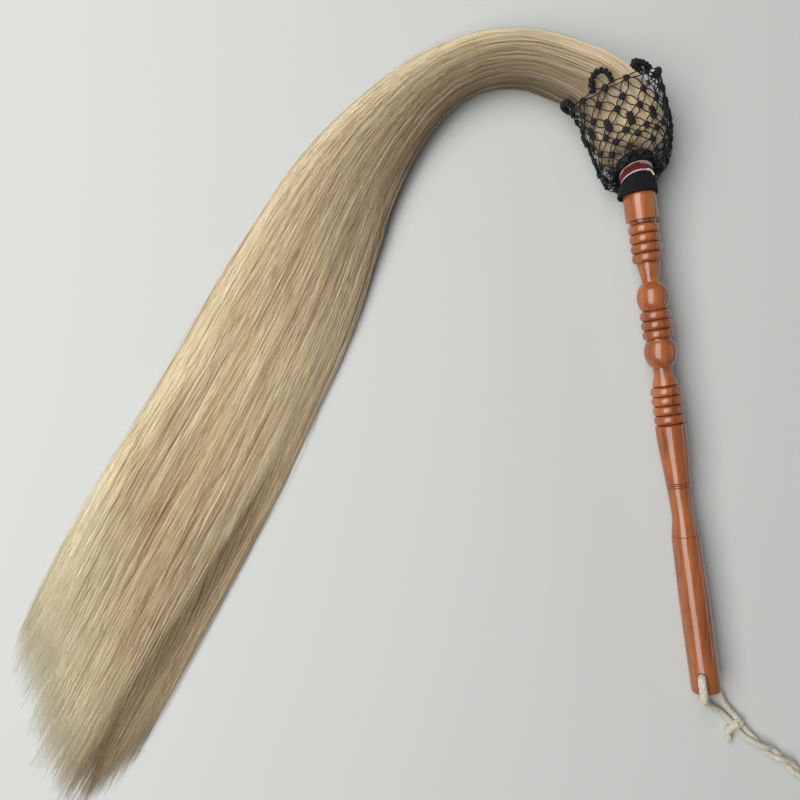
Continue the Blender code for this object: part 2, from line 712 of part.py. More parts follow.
# Net cup: knotted black thread in diamonds, from the gathered band to an open rim. It clears the hair.
def cup_frame(height):
    """The cup's axis at a height: its middle, the way it runs and its right side. It bends to the left."""
    straight = min(height, CUP_BEND_FROM)
    inside = min(height, CUP_HEIGHT)
    turned = (inside - straight) / (CUP_HEIGHT - CUP_BEND_FROM) * CUP_BEND
    radius = (CUP_HEIGHT - CUP_BEND_FROM) / CUP_BEND
    beyond = height - inside
    along = straight + radius * math.sin(turned) + beyond * math.cos(turned)
    aside = radius * (1.0 - math.cos(turned)) + beyond * math.sin(turned)
    ahead = HEAD * math.cos(turned) - RIGHT * math.sin(turned)
    side = RIGHT * math.cos(turned) + HEAD * math.sin(turned)
    return SHOULDER + HEAD * along - RIGHT * aside, ahead, side


def clear_of_hair(place, clearance):
    """Moves a place outwards until it is this far from the hair."""
    offsets = LINE_PLACES - np.array([place.x, place.y])
    run = float(LINE_RUNS[np.argmin(np.linalg.norm(offsets, axis=1))])
    middle, _, side, half_width, half_height, _ = hair_frame(run)
    across = (place - middle).dot(side)
    rise = place.z - middle.z
    wide, tall = half_width + clearance, half_height + clearance
    share = math.hypot(across / wide, rise / tall)
    if share >= 1.0 or run < CUP_BASE_HEIGHT * MM:
        return place
    return place + side * (across / share - across) + Vector((0.0, 0.0, rise / share - rise))


def net_profile():
    """The net's heights, radii and the distance along its outline at each."""
    first = (GATHER_RADIUS + GAP + NET_THICKNESS / 2.0) / math.cos(math.pi / NET_COLUMNS)
    rows = [(CUP_BASE_HEIGHT * MM, first)] + [(height * MM, radius * MM) for height, radius in CUP_BODY]
    reach = [0.0]
    for (height, radius), (next_height, next_radius) in zip(rows, rows[1:]):
        reach.append(reach[-1] + math.hypot(next_height - height, next_radius - radius))
    return [row[0] for row in rows], [row[1] for row in rows], [at / reach[-1] for at in reach]


def net_point(height, radius, angle, clearance, lowest):
    centre, ahead, side = cup_frame(height)
    crown = 1.0 - (1.0 - CUP_CROWN) * ease((radius - GATHER_RADIUS) / GATHER_RADIUS)
    turn = CUP_SLANT_TURN * ease((radius - GATHER_RADIUS) / GATHER_RADIUS)
    push = slant_at(height, radius) * math.cos(angle - turn)
    place = centre + ahead * push + side * (radius * math.sin(angle))
    place += UP * (radius * crown * math.cos(angle))
    place = clear_of_hair(place, clearance)
    place.z = max(place.z, lowest)
    return place


def make_net():
    heights, radii, reach = net_profile()
    shape = bmesh.new()
    knots = []
    for row, share in enumerate(NET_ROWS):
        height = float(np.interp(share, reach, heights))
        radius = float(np.interp(share, reach, radii))
        turn = NET_TWIST * share + math.pi / NET_COLUMNS * (row % 2)
        angles = [turn + math.tau * column / NET_COLUMNS for column in range(NET_COLUMNS)]
        places = [net_point(height, radius, angle, NET_CLEARANCE, NET_THICKNESS / 2.0) for angle in angles]
        knots.append([shape.verts.new(place) for place in places])
    last = len(NET_ROWS) - 1
    for column in range(NET_COLUMNS):
        after = (column + 1) % NET_COLUMNS
        shape.faces.new((knots[0][column], knots[0][after], knots[1][column]))
        above = after if last % 2 else column
        shape.faces.new((knots[last][after], knots[last][column], knots[last - 1][above]))
        for row in range(last - 1):
            left, right = (column, after) if row % 2 else (column - 1, column)
            corners = (knots[row][column], knots[row + 1][right], knots[row + 2][column], knots[row + 1][left])
            shape.faces.new(corners)
    meshes = list(shape.faces)
    bmesh.ops.recalc_face_normals(shape, faces=meshes)
    bmesh.ops.inset_individual(shape, faces=meshes, thickness=NET_THREAD_WIDTH, use_even_offset=True)
    bmesh.ops.delete(shape, geom=meshes, context="FACES")
    mesh = bpy.data.meshes.new("net_cup")
    shape.to_mesh(mesh)
    shape.free()
    net = add_piece("net_cup", mesh, black_thread, whisk)
    wall = net.modifiers.new("thread", "SOLIDIFY")
    wall.thickness = NET_THICKNESS
    wall.offset = 0.0


# Net edging: six thick loops of gathered thread along the rim, joined by the rim's own thread.
def make_edging():
    rim_radius = CUP_BODY[-1][1] * MM
    between = math.tau / LOOPS - 2.0 * LOOP_HALF_ANGLE
    points = []
    shares = []
    for loop in range(LOOPS):
        middle = LOOP_TURN + math.tau * loop / LOOPS
        for at in range(LOOP_POINTS):
            swing = math.pi * at / (LOOP_POINTS - 1)
            height = CUP_HEIGHT + GAP + LOOP_RADIUS + LOOP_HEIGHT * math.sin(swing)
            radius = rim_radius + LOOP_FLARE * math.sin(swing)
            angle = middle - LOOP_HALF_ANGLE * math.cos(swing)
            points.append(net_point(height, radius, angle, LOOP_RADIUS + 2.0 * GAP, LOOP_RADIUS))
            shares.append(1.0)
        for step in (1.0 / 3.0, 2.0 / 3.0):
            height = CUP_HEIGHT + GAP + LOOP_RADIUS * RIM_THREAD_SHARE
            angle = middle + LOOP_HALF_ANGLE + between * step
            points.append(net_point(height, rim_radius, angle, NET_CLEARANCE, LOOP_RADIUS))
            shares.append(RIM_THREAD_SHARE)
    curve = tube_curve("net_edging", points, LOOP_RADIUS, 1, cyclic=True, shares=shares)
    add_piece("net_edging", curve, black_thread, whisk)


# Wrist cord: one limp cotton cord, through the butt, knotted beside it, with a cut tail and a twisted loop.
def in_metres(route):
    return [tuple(value * MM for value in place) for place in route]


def make_cord(name, route, count):
    points = spline_through(route, count)
    add_piece(name, tube_curve(name, points, CORD_RADIUS, 2), cotton, whisk)


def make_knot():
    ball = bmesh.new()
    bmesh.ops.create_uvsphere(ball, u_segments=16, v_segments=10, radius=1.0)
    sizes = (KNOT_ROUND_LENGTH, KNOT_HALF_WIDTH, KNOT_HALF_HEIGHT)
    bmesh.ops.scale(ball, vec=sizes, verts=ball.verts)
    for end in (-1.0, 1.0):
        every = ball.verts[:] + ball.edges[:] + ball.faces[:]
        cut = bmesh.ops.bisect_plane(
            ball, geom=every, plane_co=(end * KNOT_HALF_LENGTH, 0.0, 0.0), plane_no=(end, 0.0, 0.0),
            clear_outer=True,
        )
        edges = [edge for edge in cut["geom_cut"] if isinstance(edge, bmesh.types.BMEdge)]
        bmesh.ops.edgeloop_fill(ball, edges=edges)
    bmesh.ops.recalc_face_normals(ball, faces=ball.faces)
    mesh = bpy.data.meshes.new("cord_knot")
    ball.to_mesh(mesh)
    ball.free()
    centre = Vector(KNOT_CENTRE) * MM
    mesh.transform(Matrix.Translation(centre) @ Matrix.Rotation(KNOT_HEADING, 4, "Z"))
    smooth_shade(add_piece("cord_knot", mesh, cotton, whisk), math.radians(50.0))


def make_wrist_loop():
    """Two strands twisted side by side, opening into the bight that goes round a wrist."""
    middle = spline_through(in_metres(PAIR_ROUTE), PAIR_POINTS)
    going, coming = [], []
    for at in range(PAIR_POINTS):
        here = Vector((*middle[at], 0.0))
        before, after = middle[max(at - 1, 0)], middle[min(at + 1, PAIR_POINTS - 1)]
        ahead = Vector((*(after - before), 0.0)).normalized()
        side = Vector((ahead.y, -ahead.x, 0.0))
        turn = math.pi * PAIR_HALF_TURNS * ease(at / (PAIR_POINTS - 1))
        height = CORD_REST_HEIGHT + PAIR_SPREAD * abs(math.sin(turn))
        offset = side * (PAIR_SPREAD * math.cos(turn)) + Vector((0.0, 0.0, PAIR_SPREAD * math.sin(turn)))
        rest = here + Vector((0.0, 0.0, height))
        going.append(rest + offset)
        coming.append(rest - offset)
    outer = side * math.cos(math.pi * PAIR_HALF_TURNS)
    foot = here + Vector((0.0, 0.0, CORD_REST_HEIGHT))
    round_way = [foot + ahead * along * MM + outer * half * MM for along, half in BIGHT_OUTLINE]
    back_way = [foot + ahead * along * MM - outer * half * MM for along, half in BIGHT_OUTLINE[:-1]]
    route = going + round_way + back_way[::-1] + coming[::-1]
    make_cord("wrist_loop", route, LOOP_CORD_POINTS)


# Putting it together. The whisk stands over the origin without its cord.
CORD_PIECES = ("cord_eye", "cord_knot", "cord_tail", "wrist_loop")


def stand_over_origin():
    """Moves the whisk so that the origin lies under the middle of everything but its cord."""
    scene_now = bpy.context.evaluated_depsgraph_get()
    places = []
    for obj in parts.objects:
        if obj.type == "EMPTY" or obj.name in CORD_PIECES:
            continue
        seen = obj.evaluated_get(scene_now)
        mesh = seen.to_mesh()
        corners = np.empty(len(mesh.vertices) * 3)
        mesh.vertices.foreach_get("co", corners)
        turned = np.array(obj.matrix_world.to_3x3())
        places.append(corners.reshape(-1, 3) @ turned.T + np.array(obj.matrix_world.translation))
        seen.to_mesh_clear()
    every = np.vstack(places)
    low, high = every.min(axis=0), every.max(axis=0)
    whisk.location = (-(low[0] + high[0]) / 2.0, -(low[1] + high[1]) / 2.0, -low[2])
    bpy.context.view_layer.update()


clear_scene()
parts = make_collection("fly_whisk")
cutters = make_collection("cutters")
wood = make_material("varnished_wood", (0.434, 0.127, 0.048), 0.25)
binding_cord = make_material("binding_cord", (0.5, 0.42, 0.3), 0.9)
white_thread = make_material("white_thread", (0.58, 0.53, 0.45), 0.85)
red_thread = make_material("red_thread", (0.19, 0.012, 0.025), 0.8)
black_cloth = make_material("black_cloth", (0.012, 0.013, 0.017), 0.9)
black_thread = make_material("black_thread", (0.01, 0.011, 0.015), 0.85)
horsehair = make_material("horsehair", (0.58, 0.46, 0.26), 0.55)
cotton = make_material("cotton_cord", (0.62, 0.58, 0.47), 0.9)

whisk = bpy.data.objects.new("whisk_frame", None)
parts.objects.link(whisk)
swing_place = hair_frame(SWING_AT)[0]
lift_place = hair_frame(LIFT_AT)[0]
swing_axis = make_empty("swing_axis", whisk, (swing_place.x, swing_place.y, 0.0))
lift_axis = make_empty("lift_axis", swing_axis, (lift_place.x, lift_place.y, 0.0))

make_handle()
make_binding_and_cuff()
make_winding("white_winding_lower", LOWER_WHITE_FROM, WHITE_TURNS, white_thread)
make_winding("red_winding", RED_FROM, RED_TURNS, red_thread)
make_winding("white_winding_upper", UPPER_WHITE_FROM, WHITE_TURNS, white_thread)
make_gathered_band()
flare = [row[0] * MM for row in HAIR_FLARE]
hair_root = make_bundle("hair_root", [HAIR_START, *flare, *np.linspace(STATION_RUNS[0], ROOT_END, 5)], whisk)
bore_for_tenon(hair_root)
make_bundle("hair_neck", np.linspace(ROOT_END + GAP, NECK_END, 5), swing_axis)
make_bundle("hair_arch", np.linspace(NECK_END + GAP, ARCH_END, 6), swing_axis)
make_bundle("hair_bend", np.linspace(ARCH_END + GAP, BEND_END, 3), lift_axis)
make_fan(lift_axis)
make_net()
make_edging()
make_cord("cord_eye", in_metres(EYE_ROUTE), EYE_POINTS)
make_knot()
make_cord("cord_tail", in_metres(TAIL_ROUTE), TAIL_POINTS)
make_wrist_loop()
stand_over_origin()
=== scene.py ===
"""The looks of a horsetail fly whisk that lies on a table: a turned wooden handle, a long pale tail bound to its
head, a black knotted net over the binding, and a white cotton cord through the butt. All of it stands round the
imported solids. The whisk's bare sizes are millimetres, and those with MM, the table's and the windows' are metres.
The table is z = 0, and the head of the whisk points to +Y. A run is a way along the hair from the binding's foot.
"""

import math

import bpy
import numpy as np
from mathutils import Matrix, Vector, noise


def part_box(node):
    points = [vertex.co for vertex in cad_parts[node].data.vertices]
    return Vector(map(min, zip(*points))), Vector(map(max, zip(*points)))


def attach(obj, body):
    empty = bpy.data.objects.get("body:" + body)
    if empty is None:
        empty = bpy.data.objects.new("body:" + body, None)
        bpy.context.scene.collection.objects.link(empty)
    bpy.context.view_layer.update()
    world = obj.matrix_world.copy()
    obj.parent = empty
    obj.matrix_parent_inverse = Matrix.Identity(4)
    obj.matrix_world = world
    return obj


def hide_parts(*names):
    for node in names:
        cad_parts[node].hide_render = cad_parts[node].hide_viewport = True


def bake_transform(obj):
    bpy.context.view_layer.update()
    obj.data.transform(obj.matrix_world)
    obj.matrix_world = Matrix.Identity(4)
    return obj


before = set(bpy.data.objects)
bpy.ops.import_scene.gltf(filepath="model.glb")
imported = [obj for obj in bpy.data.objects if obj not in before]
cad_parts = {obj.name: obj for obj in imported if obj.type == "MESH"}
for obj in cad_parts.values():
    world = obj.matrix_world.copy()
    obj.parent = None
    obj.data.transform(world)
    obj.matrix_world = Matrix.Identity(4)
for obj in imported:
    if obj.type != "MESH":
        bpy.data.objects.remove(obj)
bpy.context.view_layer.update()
MM = 0.001


# The view and the table. The whisk lies on a plain pale matte table and is seen from straight above, from a bit
# under 60 cm. Daylight falls from a broad window at the upper left, and a far, weak one stands low on the right.
SHOULDER_FROM_HANDLE = Vector((11.04, 341.5)) * MM
VIEW_FROM_SHOULDER = (-162.1, -139.7, 587.0)
VIEW_LENS = 37.35
TABLE_SIZE = 5.0
TABLE_DROP = 0.3 * MM
TABLE_COLOUR = (0.60, 0.618, 0.608)
WINDOW_AWAY = (-0.70, 0.12, 1.30)
WINDOW_SIZE = (1.10, 2.60)
WINDOW_POWER = 37.4
WINDOW_COLOUR = (1.0, 0.985, 0.96)
FAR_WINDOW_AWAY = (1.9, 0.1, 0.5)
FAR_WINDOW_SIZE = (0.25, 1.6)
FAR_WINDOW_POWER = 2.2
SKY_COLOUR = (0.93, 0.97, 1.0)
SKY_LIGHT = 0.09

handle_low, handle_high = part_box("handle")
shoulder_x = handle_low.x + SHOULDER_FROM_HANDLE.x
shoulder_y = handle_low.y + SHOULDER_FROM_HANDLE.y


def from_shoulder(x, y, z=0.0):
    """A place given in millimetres from the point on the table under the handle's shoulder."""
    return Vector((shoulder_x + x * MM, shoulder_y + y * MM, z * MM))


def new_material(name, colour, roughness):
    """A material, its Principled shader, and the lists that its nodes and links are added to."""
    made = bpy.data.materials.new(name)
    made.use_nodes = True
    shader = made.node_tree.nodes["Principled BSDF"]
    shader.inputs["Base Color"].default_value = (*colour, 1.0)
    shader.inputs["Roughness"].default_value = roughness
    return made, shader, made.node_tree.nodes, made.node_tree.links


def add_window(name, away, size, power, colour):
    """A rectangular daylight window that faces the middle of the view, with its length along the handle."""
    bpy.ops.object.light_add(type="AREA", location=middle_of_view + Vector(away))
    window = bpy.context.object
    window.name = name
    window.data.shape = "RECTANGLE"
    window.data.size, window.data.size_y = size
    window.data.energy = power
    window.data.color = colour
    towards = Vector(away).normalized()
    across = Vector((0.0, 1.0, 0.0)).cross(towards).normalized()
    window.rotation_euler = Matrix((across, towards.cross(across), towards)).transposed().to_euler()


bpy.ops.object.select_all(action="DESELECT")
bpy.ops.object.camera_add(location=from_shoulder(*VIEW_FROM_SHOULDER), rotation=(0.0, 0.0, 0.0))
camera = bpy.context.object
camera.data.lens = VIEW_LENS
camera.data.clip_start = 0.01
bpy.context.scene.camera = camera

bpy.ops.mesh.primitive_plane_add(size=TABLE_SIZE, location=(0.0, 0.0, -TABLE_DROP))
table = bpy.context.object
table.name = "table"
table_paint, shader, _, _ = new_material("pale_table", TABLE_COLOUR, 0.85)
shader.inputs["Specular IOR Level"].default_value = 0.2
table.data.materials.append(table_paint)

middle_of_view = from_shoulder(VIEW_FROM_SHOULDER[0], VIEW_FROM_SHOULDER[1])
add_window("window", WINDOW_AWAY, WINDOW_SIZE, WINDOW_POWER, WINDOW_COLOUR)
add_window("far_window", FAR_WINDOW_AWAY, FAR_WINDOW_SIZE, FAR_WINDOW_POWER, SKY_COLOUR)
room = bpy.data.worlds.new("room")
room.use_nodes = True
sky = room.node_tree.nodes["Background"].inputs
sky["Color"].default_value = (*SKY_COLOUR, 1.0)
sky["Strength"].default_value = SKY_LIGHT
bpy.context.scene.world = room
bpy.context.scene.view_settings.view_transform = "Standard"


# The handle: one stick of hardwood turned in a lathe, with a collar, rings, two balls, a waist and a plain butt.
# It is stained orange brown and thickly varnished, scored round with fine lines, and bored across for the cord.
HANDLE_LENGTH = 344.0
HANDLE_LEAN = math.radians(8.3)
SHOULDER_HEIGHT = 23.8
BUTT_HEIGHT = 14.1
TENON_LENGTH = 34.0
TENON_RADIUS = 6.2
COLLAR_LENGTH = 18.2
COLLAR_RADIUS = 11.05
COLLAR_EDGE = 0.7
COVE_LENGTH = 2.6
COVE_RADIUS = 9.3
RING_PITCH = 6.45
RING_RADIUS = 10.4
RING_GROOVE = 8.3
UPPER_RINGS, MIDDLE_RINGS, LOWER_RINGS = 4, 3, 4
CREASE_RADIUS = 7.7
UPPER_NECK_LENGTH = 13.6
UPPER_NECK_RADIUS = 5.75
BALL_LENGTH = 19.6
BALL_RADIUS = 10.9
LOWER_NECK_LENGTH = 13.2
LOWER_NECK_RADIUS = 6.4
GRIP_EDGE = 1.2
GRIP_RADIUS = 10.3
GRIP_TAPER = 62.0
WAIST_RADIUS = 7.3
SWELL_LENGTH = 18.0
SWELL_RADIUS = 9.5
SWELL_LINE = 4.0
BUTT_RADIUS = 10.2
BUTT_SWELL = 45.0
BUTT_ROUND = 1.6
SCORE_LINES = (198.5, 199.8, 201.3)
SCORE_DEPTH = 0.28
SCORE_WIDTH = 0.32
HANDLE_STEPS = 80
CORD_HOLE_RADIUS = 3.2
CORD_HOLE_FROM_BUTT = 13.0
CORD_HOLE_TURN = math.radians(-28.0)
GRAIN_LIGHT = (0.49, 0.16, 0.042)
GRAIN_MIDDLE = (0.375, 0.10, 0.026)
GRAIN_DARK = (0.20, 0.042, 0.013)
# The grooves are darkened, partly with varnish pooled in them and partly as painted shade, and the grip is darkened
# too.
DARKENED_WOOD = (0.10, 0.020, 0.009)
MOTTLE_TINT = (0.74, 0.66, 0.62)
# The wood is darker down the grip, over this length of it.
GRIP_DARKENING = 0.24
GRIP_DARKENING_FROM = 130.0
GRIP_DARKENING_LENGTH = 130.0
RING_SHARES = (0.0, 0.03, 0.09, 0.18, 0.29, 0.4, 0.5, 0.6, 0.71, 0.82, 0.91, 0.97)
BUTT_TURNS = (0.3, 0.6, 0.85, 1.1, 1.35)
BALL_STEPS = 21
MERGE_WITHIN = 0.01 * MM

TILT = (SHOULDER_HEIGHT - BUTT_HEIGHT) / HANDLE_LENGTH
HEAD = Vector((-math.sin(HANDLE_LEAN), math.cos(HANDLE_LEAN), TILT)).normalized()
RIGHT = Vector((math.cos(HANDLE_LEAN), math.sin(HANDLE_LEAN), 0.0))
UP = RIGHT.cross(HEAD)
SHOULDER = from_shoulder(0.0, 0.0, SHOULDER_HEIGHT)
ON_AXIS = Matrix.Translation(SHOULDER) @ Matrix((RIGHT, -UP, HEAD)).transposed().to_4x4()


def off_axis(place):
    """How far a place lies along the handle's axis above the shoulder, and its way out from the axis."""
    height = (place - SHOULDER).dot(HEAD)
    return height, place - SHOULDER - HEAD * height


def ease(share):
    """0 to 1 with level ends, for numbers and arrays."""
    held = np.clip(share, 0.0, 1.0)
    return held * held * (3.0 - 2.0 * held)


def eased_run(start, length, first, last, steps):
    """A smooth change from one radius to another."""
    shares = np.linspace(0.0, 1.0, steps + 1)[1:]
    return [(start + share * length, first + (last - first) * float(ease(share)), 0.0) for share in shares]


def ring_run(start, count):
    """Rings side by side, each a round crown between two sharp grooves."""
    run = []
    for ring in range(count):
        for share in RING_SHARES:
            rise = math.sqrt(1.0 - (2.0 * share - 1.0) ** 2)
            radius = RING_GROOVE + (RING_RADIUS - RING_GROOVE) * rise
            run.append((start + (ring + share) * RING_PITCH, radius, (1.0 - rise) ** 1.5))
    return run


def ball_run(start, near, far):
    """A turned ball between the neck that it leaves and the one that it ends in."""
    first, last = math.asin(near / BALL_RADIUS), math.pi - math.asin(far / BALL_RADIUS)
    span = math.cos(first) - math.cos(last)
    run = []
    for turn in np.linspace(first, last, BALL_STEPS):
        share = (math.cos(first) - math.cos(turn)) / span
        run.append((start + share * BALL_LENGTH, BALL_RADIUS * math.sin(turn), 0.0))
    run[0] = (*run[0][:2], 0.5)
    run[-1] = (*run[-1][:2], 0.5)
    return run


def handle_outline():
    """Depth below the shoulder, radius, and how far its grooves are darkened, partly as painted shade, from the end of
    the tenon to the middle of the butt.
    """
    run = [(-TENON_LENGTH, 0.0, 0.0), (-TENON_LENGTH, TENON_RADIUS, 0.0), (0.0, TENON_RADIUS, 0.0)]
    run += [(0.0, COLLAR_RADIUS - COLLAR_EDGE, 0.0), (0.3 * COLLAR_EDGE, COLLAR_RADIUS - 0.3 * COLLAR_EDGE, 0.0)]
    run += [(COLLAR_EDGE, COLLAR_RADIUS, 0.0), (COLLAR_LENGTH - COLLAR_EDGE, COLLAR_RADIUS, 0.0)]
    run += [(COLLAR_LENGTH - 0.2 * COLLAR_EDGE, COLLAR_RADIUS - 0.35 * COLLAR_EDGE, 0.3)]
    run += [(COLLAR_LENGTH, COVE_RADIUS, 0.9), (COLLAR_LENGTH + 0.4 * COVE_LENGTH, 0.98 * COVE_RADIUS, 0.45)]
    depth = COLLAR_LENGTH + COVE_LENGTH
    run += ring_run(depth, UPPER_RINGS)
    depth += UPPER_RINGS * RING_PITCH
    run += [(depth, RING_GROOVE, 1.0), (depth + 0.4, CREASE_RADIUS, 0.7)]
    run += eased_run(depth + 0.4, UPPER_NECK_LENGTH - 0.4, CREASE_RADIUS, UPPER_NECK_RADIUS, 9)
    depth += UPPER_NECK_LENGTH
    run += ball_run(depth, UPPER_NECK_RADIUS, CREASE_RADIUS)[1:]
    depth += BALL_LENGTH
    run += ring_run(depth, MIDDLE_RINGS)
    depth += MIDDLE_RINGS * RING_PITCH
    run += [(depth, RING_GROOVE, 1.0)]
    run += ball_run(depth, CREASE_RADIUS, LOWER_NECK_RADIUS)[1:]
    depth += BALL_LENGTH
    flare = depth + 0.3 * LOWER_NECK_LENGTH
    run += [(flare, LOWER_NECK_RADIUS, 0.0)]
    run += eased_run(flare, 0.62 * LOWER_NECK_LENGTH, LOWER_NECK_RADIUS, CREASE_RADIUS + 0.7, 7)
    depth += LOWER_NECK_LENGTH
    run += [(depth - 0.5, CREASE_RADIUS + 0.1, 1.0)]
    run += ring_run(depth, LOWER_RINGS)
    depth += LOWER_RINGS * RING_PITCH
    run += [(depth, RING_GROOVE, 1.0), (depth + 0.4 * GRIP_EDGE, GRIP_RADIUS - 0.7, 0.3)]
    depth += GRIP_EDGE
    run += [(depth, GRIP_RADIUS, 0.0)]
    run += eased_run(depth, GRIP_TAPER, GRIP_RADIUS, WAIST_RADIUS, 40)
    depth += GRIP_TAPER
    run += eased_run(depth, SWELL_LENGTH, WAIST_RADIUS, SWELL_RADIUS, 14)
    depth += SWELL_LENGTH
    run += eased_run(depth, BUTT_SWELL, SWELL_RADIUS, BUTT_RADIUS, 12)
    butt = HANDLE_LENGTH - BUTT_ROUND
    run += [(butt, BUTT_RADIUS, 0.0)]
    for turn in BUTT_TURNS:
        run.append((butt + BUTT_ROUND * math.sin(turn), BUTT_RADIUS - BUTT_ROUND * (1.0 - math.cos(turn)), 0.0))
    run += [(HANDLE_LENGTH, BUTT_RADIUS - BUTT_ROUND, 0.0), (HANDLE_LENGTH, 0.0, 0.0)]
    return score(run, (*SCORE_LINES, depth - SWELL_LINE))


def score(run, lines):
    """Cuts fine lines round an outline, each a small notch."""
    notches = []
    for line in lines:
        at = next(index for index, step in enumerate(run) if step[0] > line)
        (above, first, _), (below, last, _) = run[at - 1], run[at]
        radius = first + (last - first) * (line - above) / (below - above)
        low, high = line - SCORE_WIDTH, line + SCORE_WIDTH
        notches.append((at, [(low, radius, 0.0), (line, radius - SCORE_DEPTH, 1.0), (high, radius, 0.0)]))
    for at, notch in sorted(notches, reverse=True):
        run[at:at] = notch
    return run


def select_only(piece):
    bpy.ops.object.select_all(action="DESELECT")
    piece.select_set(True)
    bpy.context.view_layer.objects.active = piece


def face_outward(piece):
    """Merges a mesh's doubles and turns its faces outwards."""
    select_only(piece)
    bpy.ops.object.mode_set(mode="EDIT")
    bpy.ops.mesh.select_all(action="SELECT")
    bpy.ops.mesh.remove_doubles(threshold=MERGE_WITHIN)
    bpy.ops.mesh.normals_make_consistent(inside=False)
    bpy.ops.object.mode_set(mode="OBJECT")


def turn_outline(name, outline, steps, closed=False):
    """Turns an outline of (height, radius) in millimetres about the handle's axis, as a lathe does."""
    points = [Vector((radius, 0.0, height)) * MM for height, radius in outline]
    bpy.ops.object.select_all(action="DESELECT")
    bpy.ops.mesh.primitive_plane_add(size=2.0 * MM, location=(0.0, 0.0, 0.0))
    turned = bpy.context.object
    turned.name = name
    bpy.ops.object.mode_set(mode="EDIT")
    bpy.ops.mesh.select_all(action="SELECT")
    bpy.ops.mesh.merge(type="CENTER")
    bpy.ops.transform.translate(value=points[0])
    for start, end in zip(points, points[1:] + points[:1] if closed else points[1:]):
        bpy.ops.mesh.extrude_region_move(TRANSFORM_OT_translate={"value": end - start})
    bpy.ops.mesh.select_all(action="SELECT")
    bpy.ops.mesh.spin(steps=steps, angle=math.tau, center=(0.0, 0.0, 0.0), axis=(0.0, 0.0, 1.0))
    bpy.ops.object.mode_set(mode="OBJECT")
    face_outward(turned)
    turned.data.transform(ON_AXIS)
    return turned


def bore(piece, middle, way, radius, depth):
    """Drills a piece across with a round drill."""
    bpy.ops.object.select_all(action="DESELECT")
    bpy.ops.mesh.primitive_cylinder_add(vertices=40, radius=radius * MM, depth=depth * MM, location=middle)
    drill = bpy.context.object
    drill.rotation_euler = way.to_track_quat("Z", "Y").to_euler()
    select_only(piece)
    cut = piece.modifiers.new("bore", "BOOLEAN")
    cut.operation = "DIFFERENCE"
    cut.object = drill
    bpy.ops.object.modifier_apply(modifier=cut.name)
    bpy.data.objects.remove(drill, do_unlink=True)


def finish_piece(piece, name, finish, slot, body, *nodes_replaced):
    """Names a piece, gives it its finish and hangs it on its body in place of its CAD nodes."""
    piece.name = name
    piece.data.name = name
    piece.data.materials.clear()
    piece.data.materials.append(finish)
    if body:
        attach(piece, body)
    if nodes_replaced:
        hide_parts(*nodes_replaced)
    return piece


def noise_node(nodes, scale, detail, distortion=0.0):
    made = nodes.new("ShaderNodeTexNoise")
    for name, value in (("Scale", scale), ("Detail", detail), ("Distortion", distortion)):
        made.inputs[name].default_value = value
    return made


def ramp_node(nodes, low, high, *between):
    """A colour ramp from one (position, colour) to another, with any more between them."""
    made = nodes.new("ShaderNodeValToRGB")
    for stop, (position, colour) in zip(made.color_ramp.elements, (low, high)):
        stop.position = position
        stop.color = (*colour, 1.0)
    for position, colour in between:
        made.color_ramp.elements.new(position).color = (*colour, 1.0)
    return made


def bump_node(nodes, strength, distance):
    made = nodes.new("ShaderNodeBump")
    made.inputs["Strength"].default_value = strength
    made.inputs["Distance"].default_value = distance
    return made


def join_noises(nodes, links, fine, coarse, share=0.55):
    """This share of a fine noise with the rest of a coarse one."""
    less, both = nodes.new("ShaderNodeMath"), nodes.new("ShaderNodeMath")
    less.operation, both.operation = "MULTIPLY", "MULTIPLY_ADD"
    less.inputs[1].default_value = 1.0 - share
    both.inputs[1].default_value = share
    links.new(coarse.outputs["Fac"], less.inputs[0])
    links.new(fine.outputs["Fac"], both.inputs[0])
    links.new(less.outputs[0], both.inputs[2])
    return both.outputs[0]


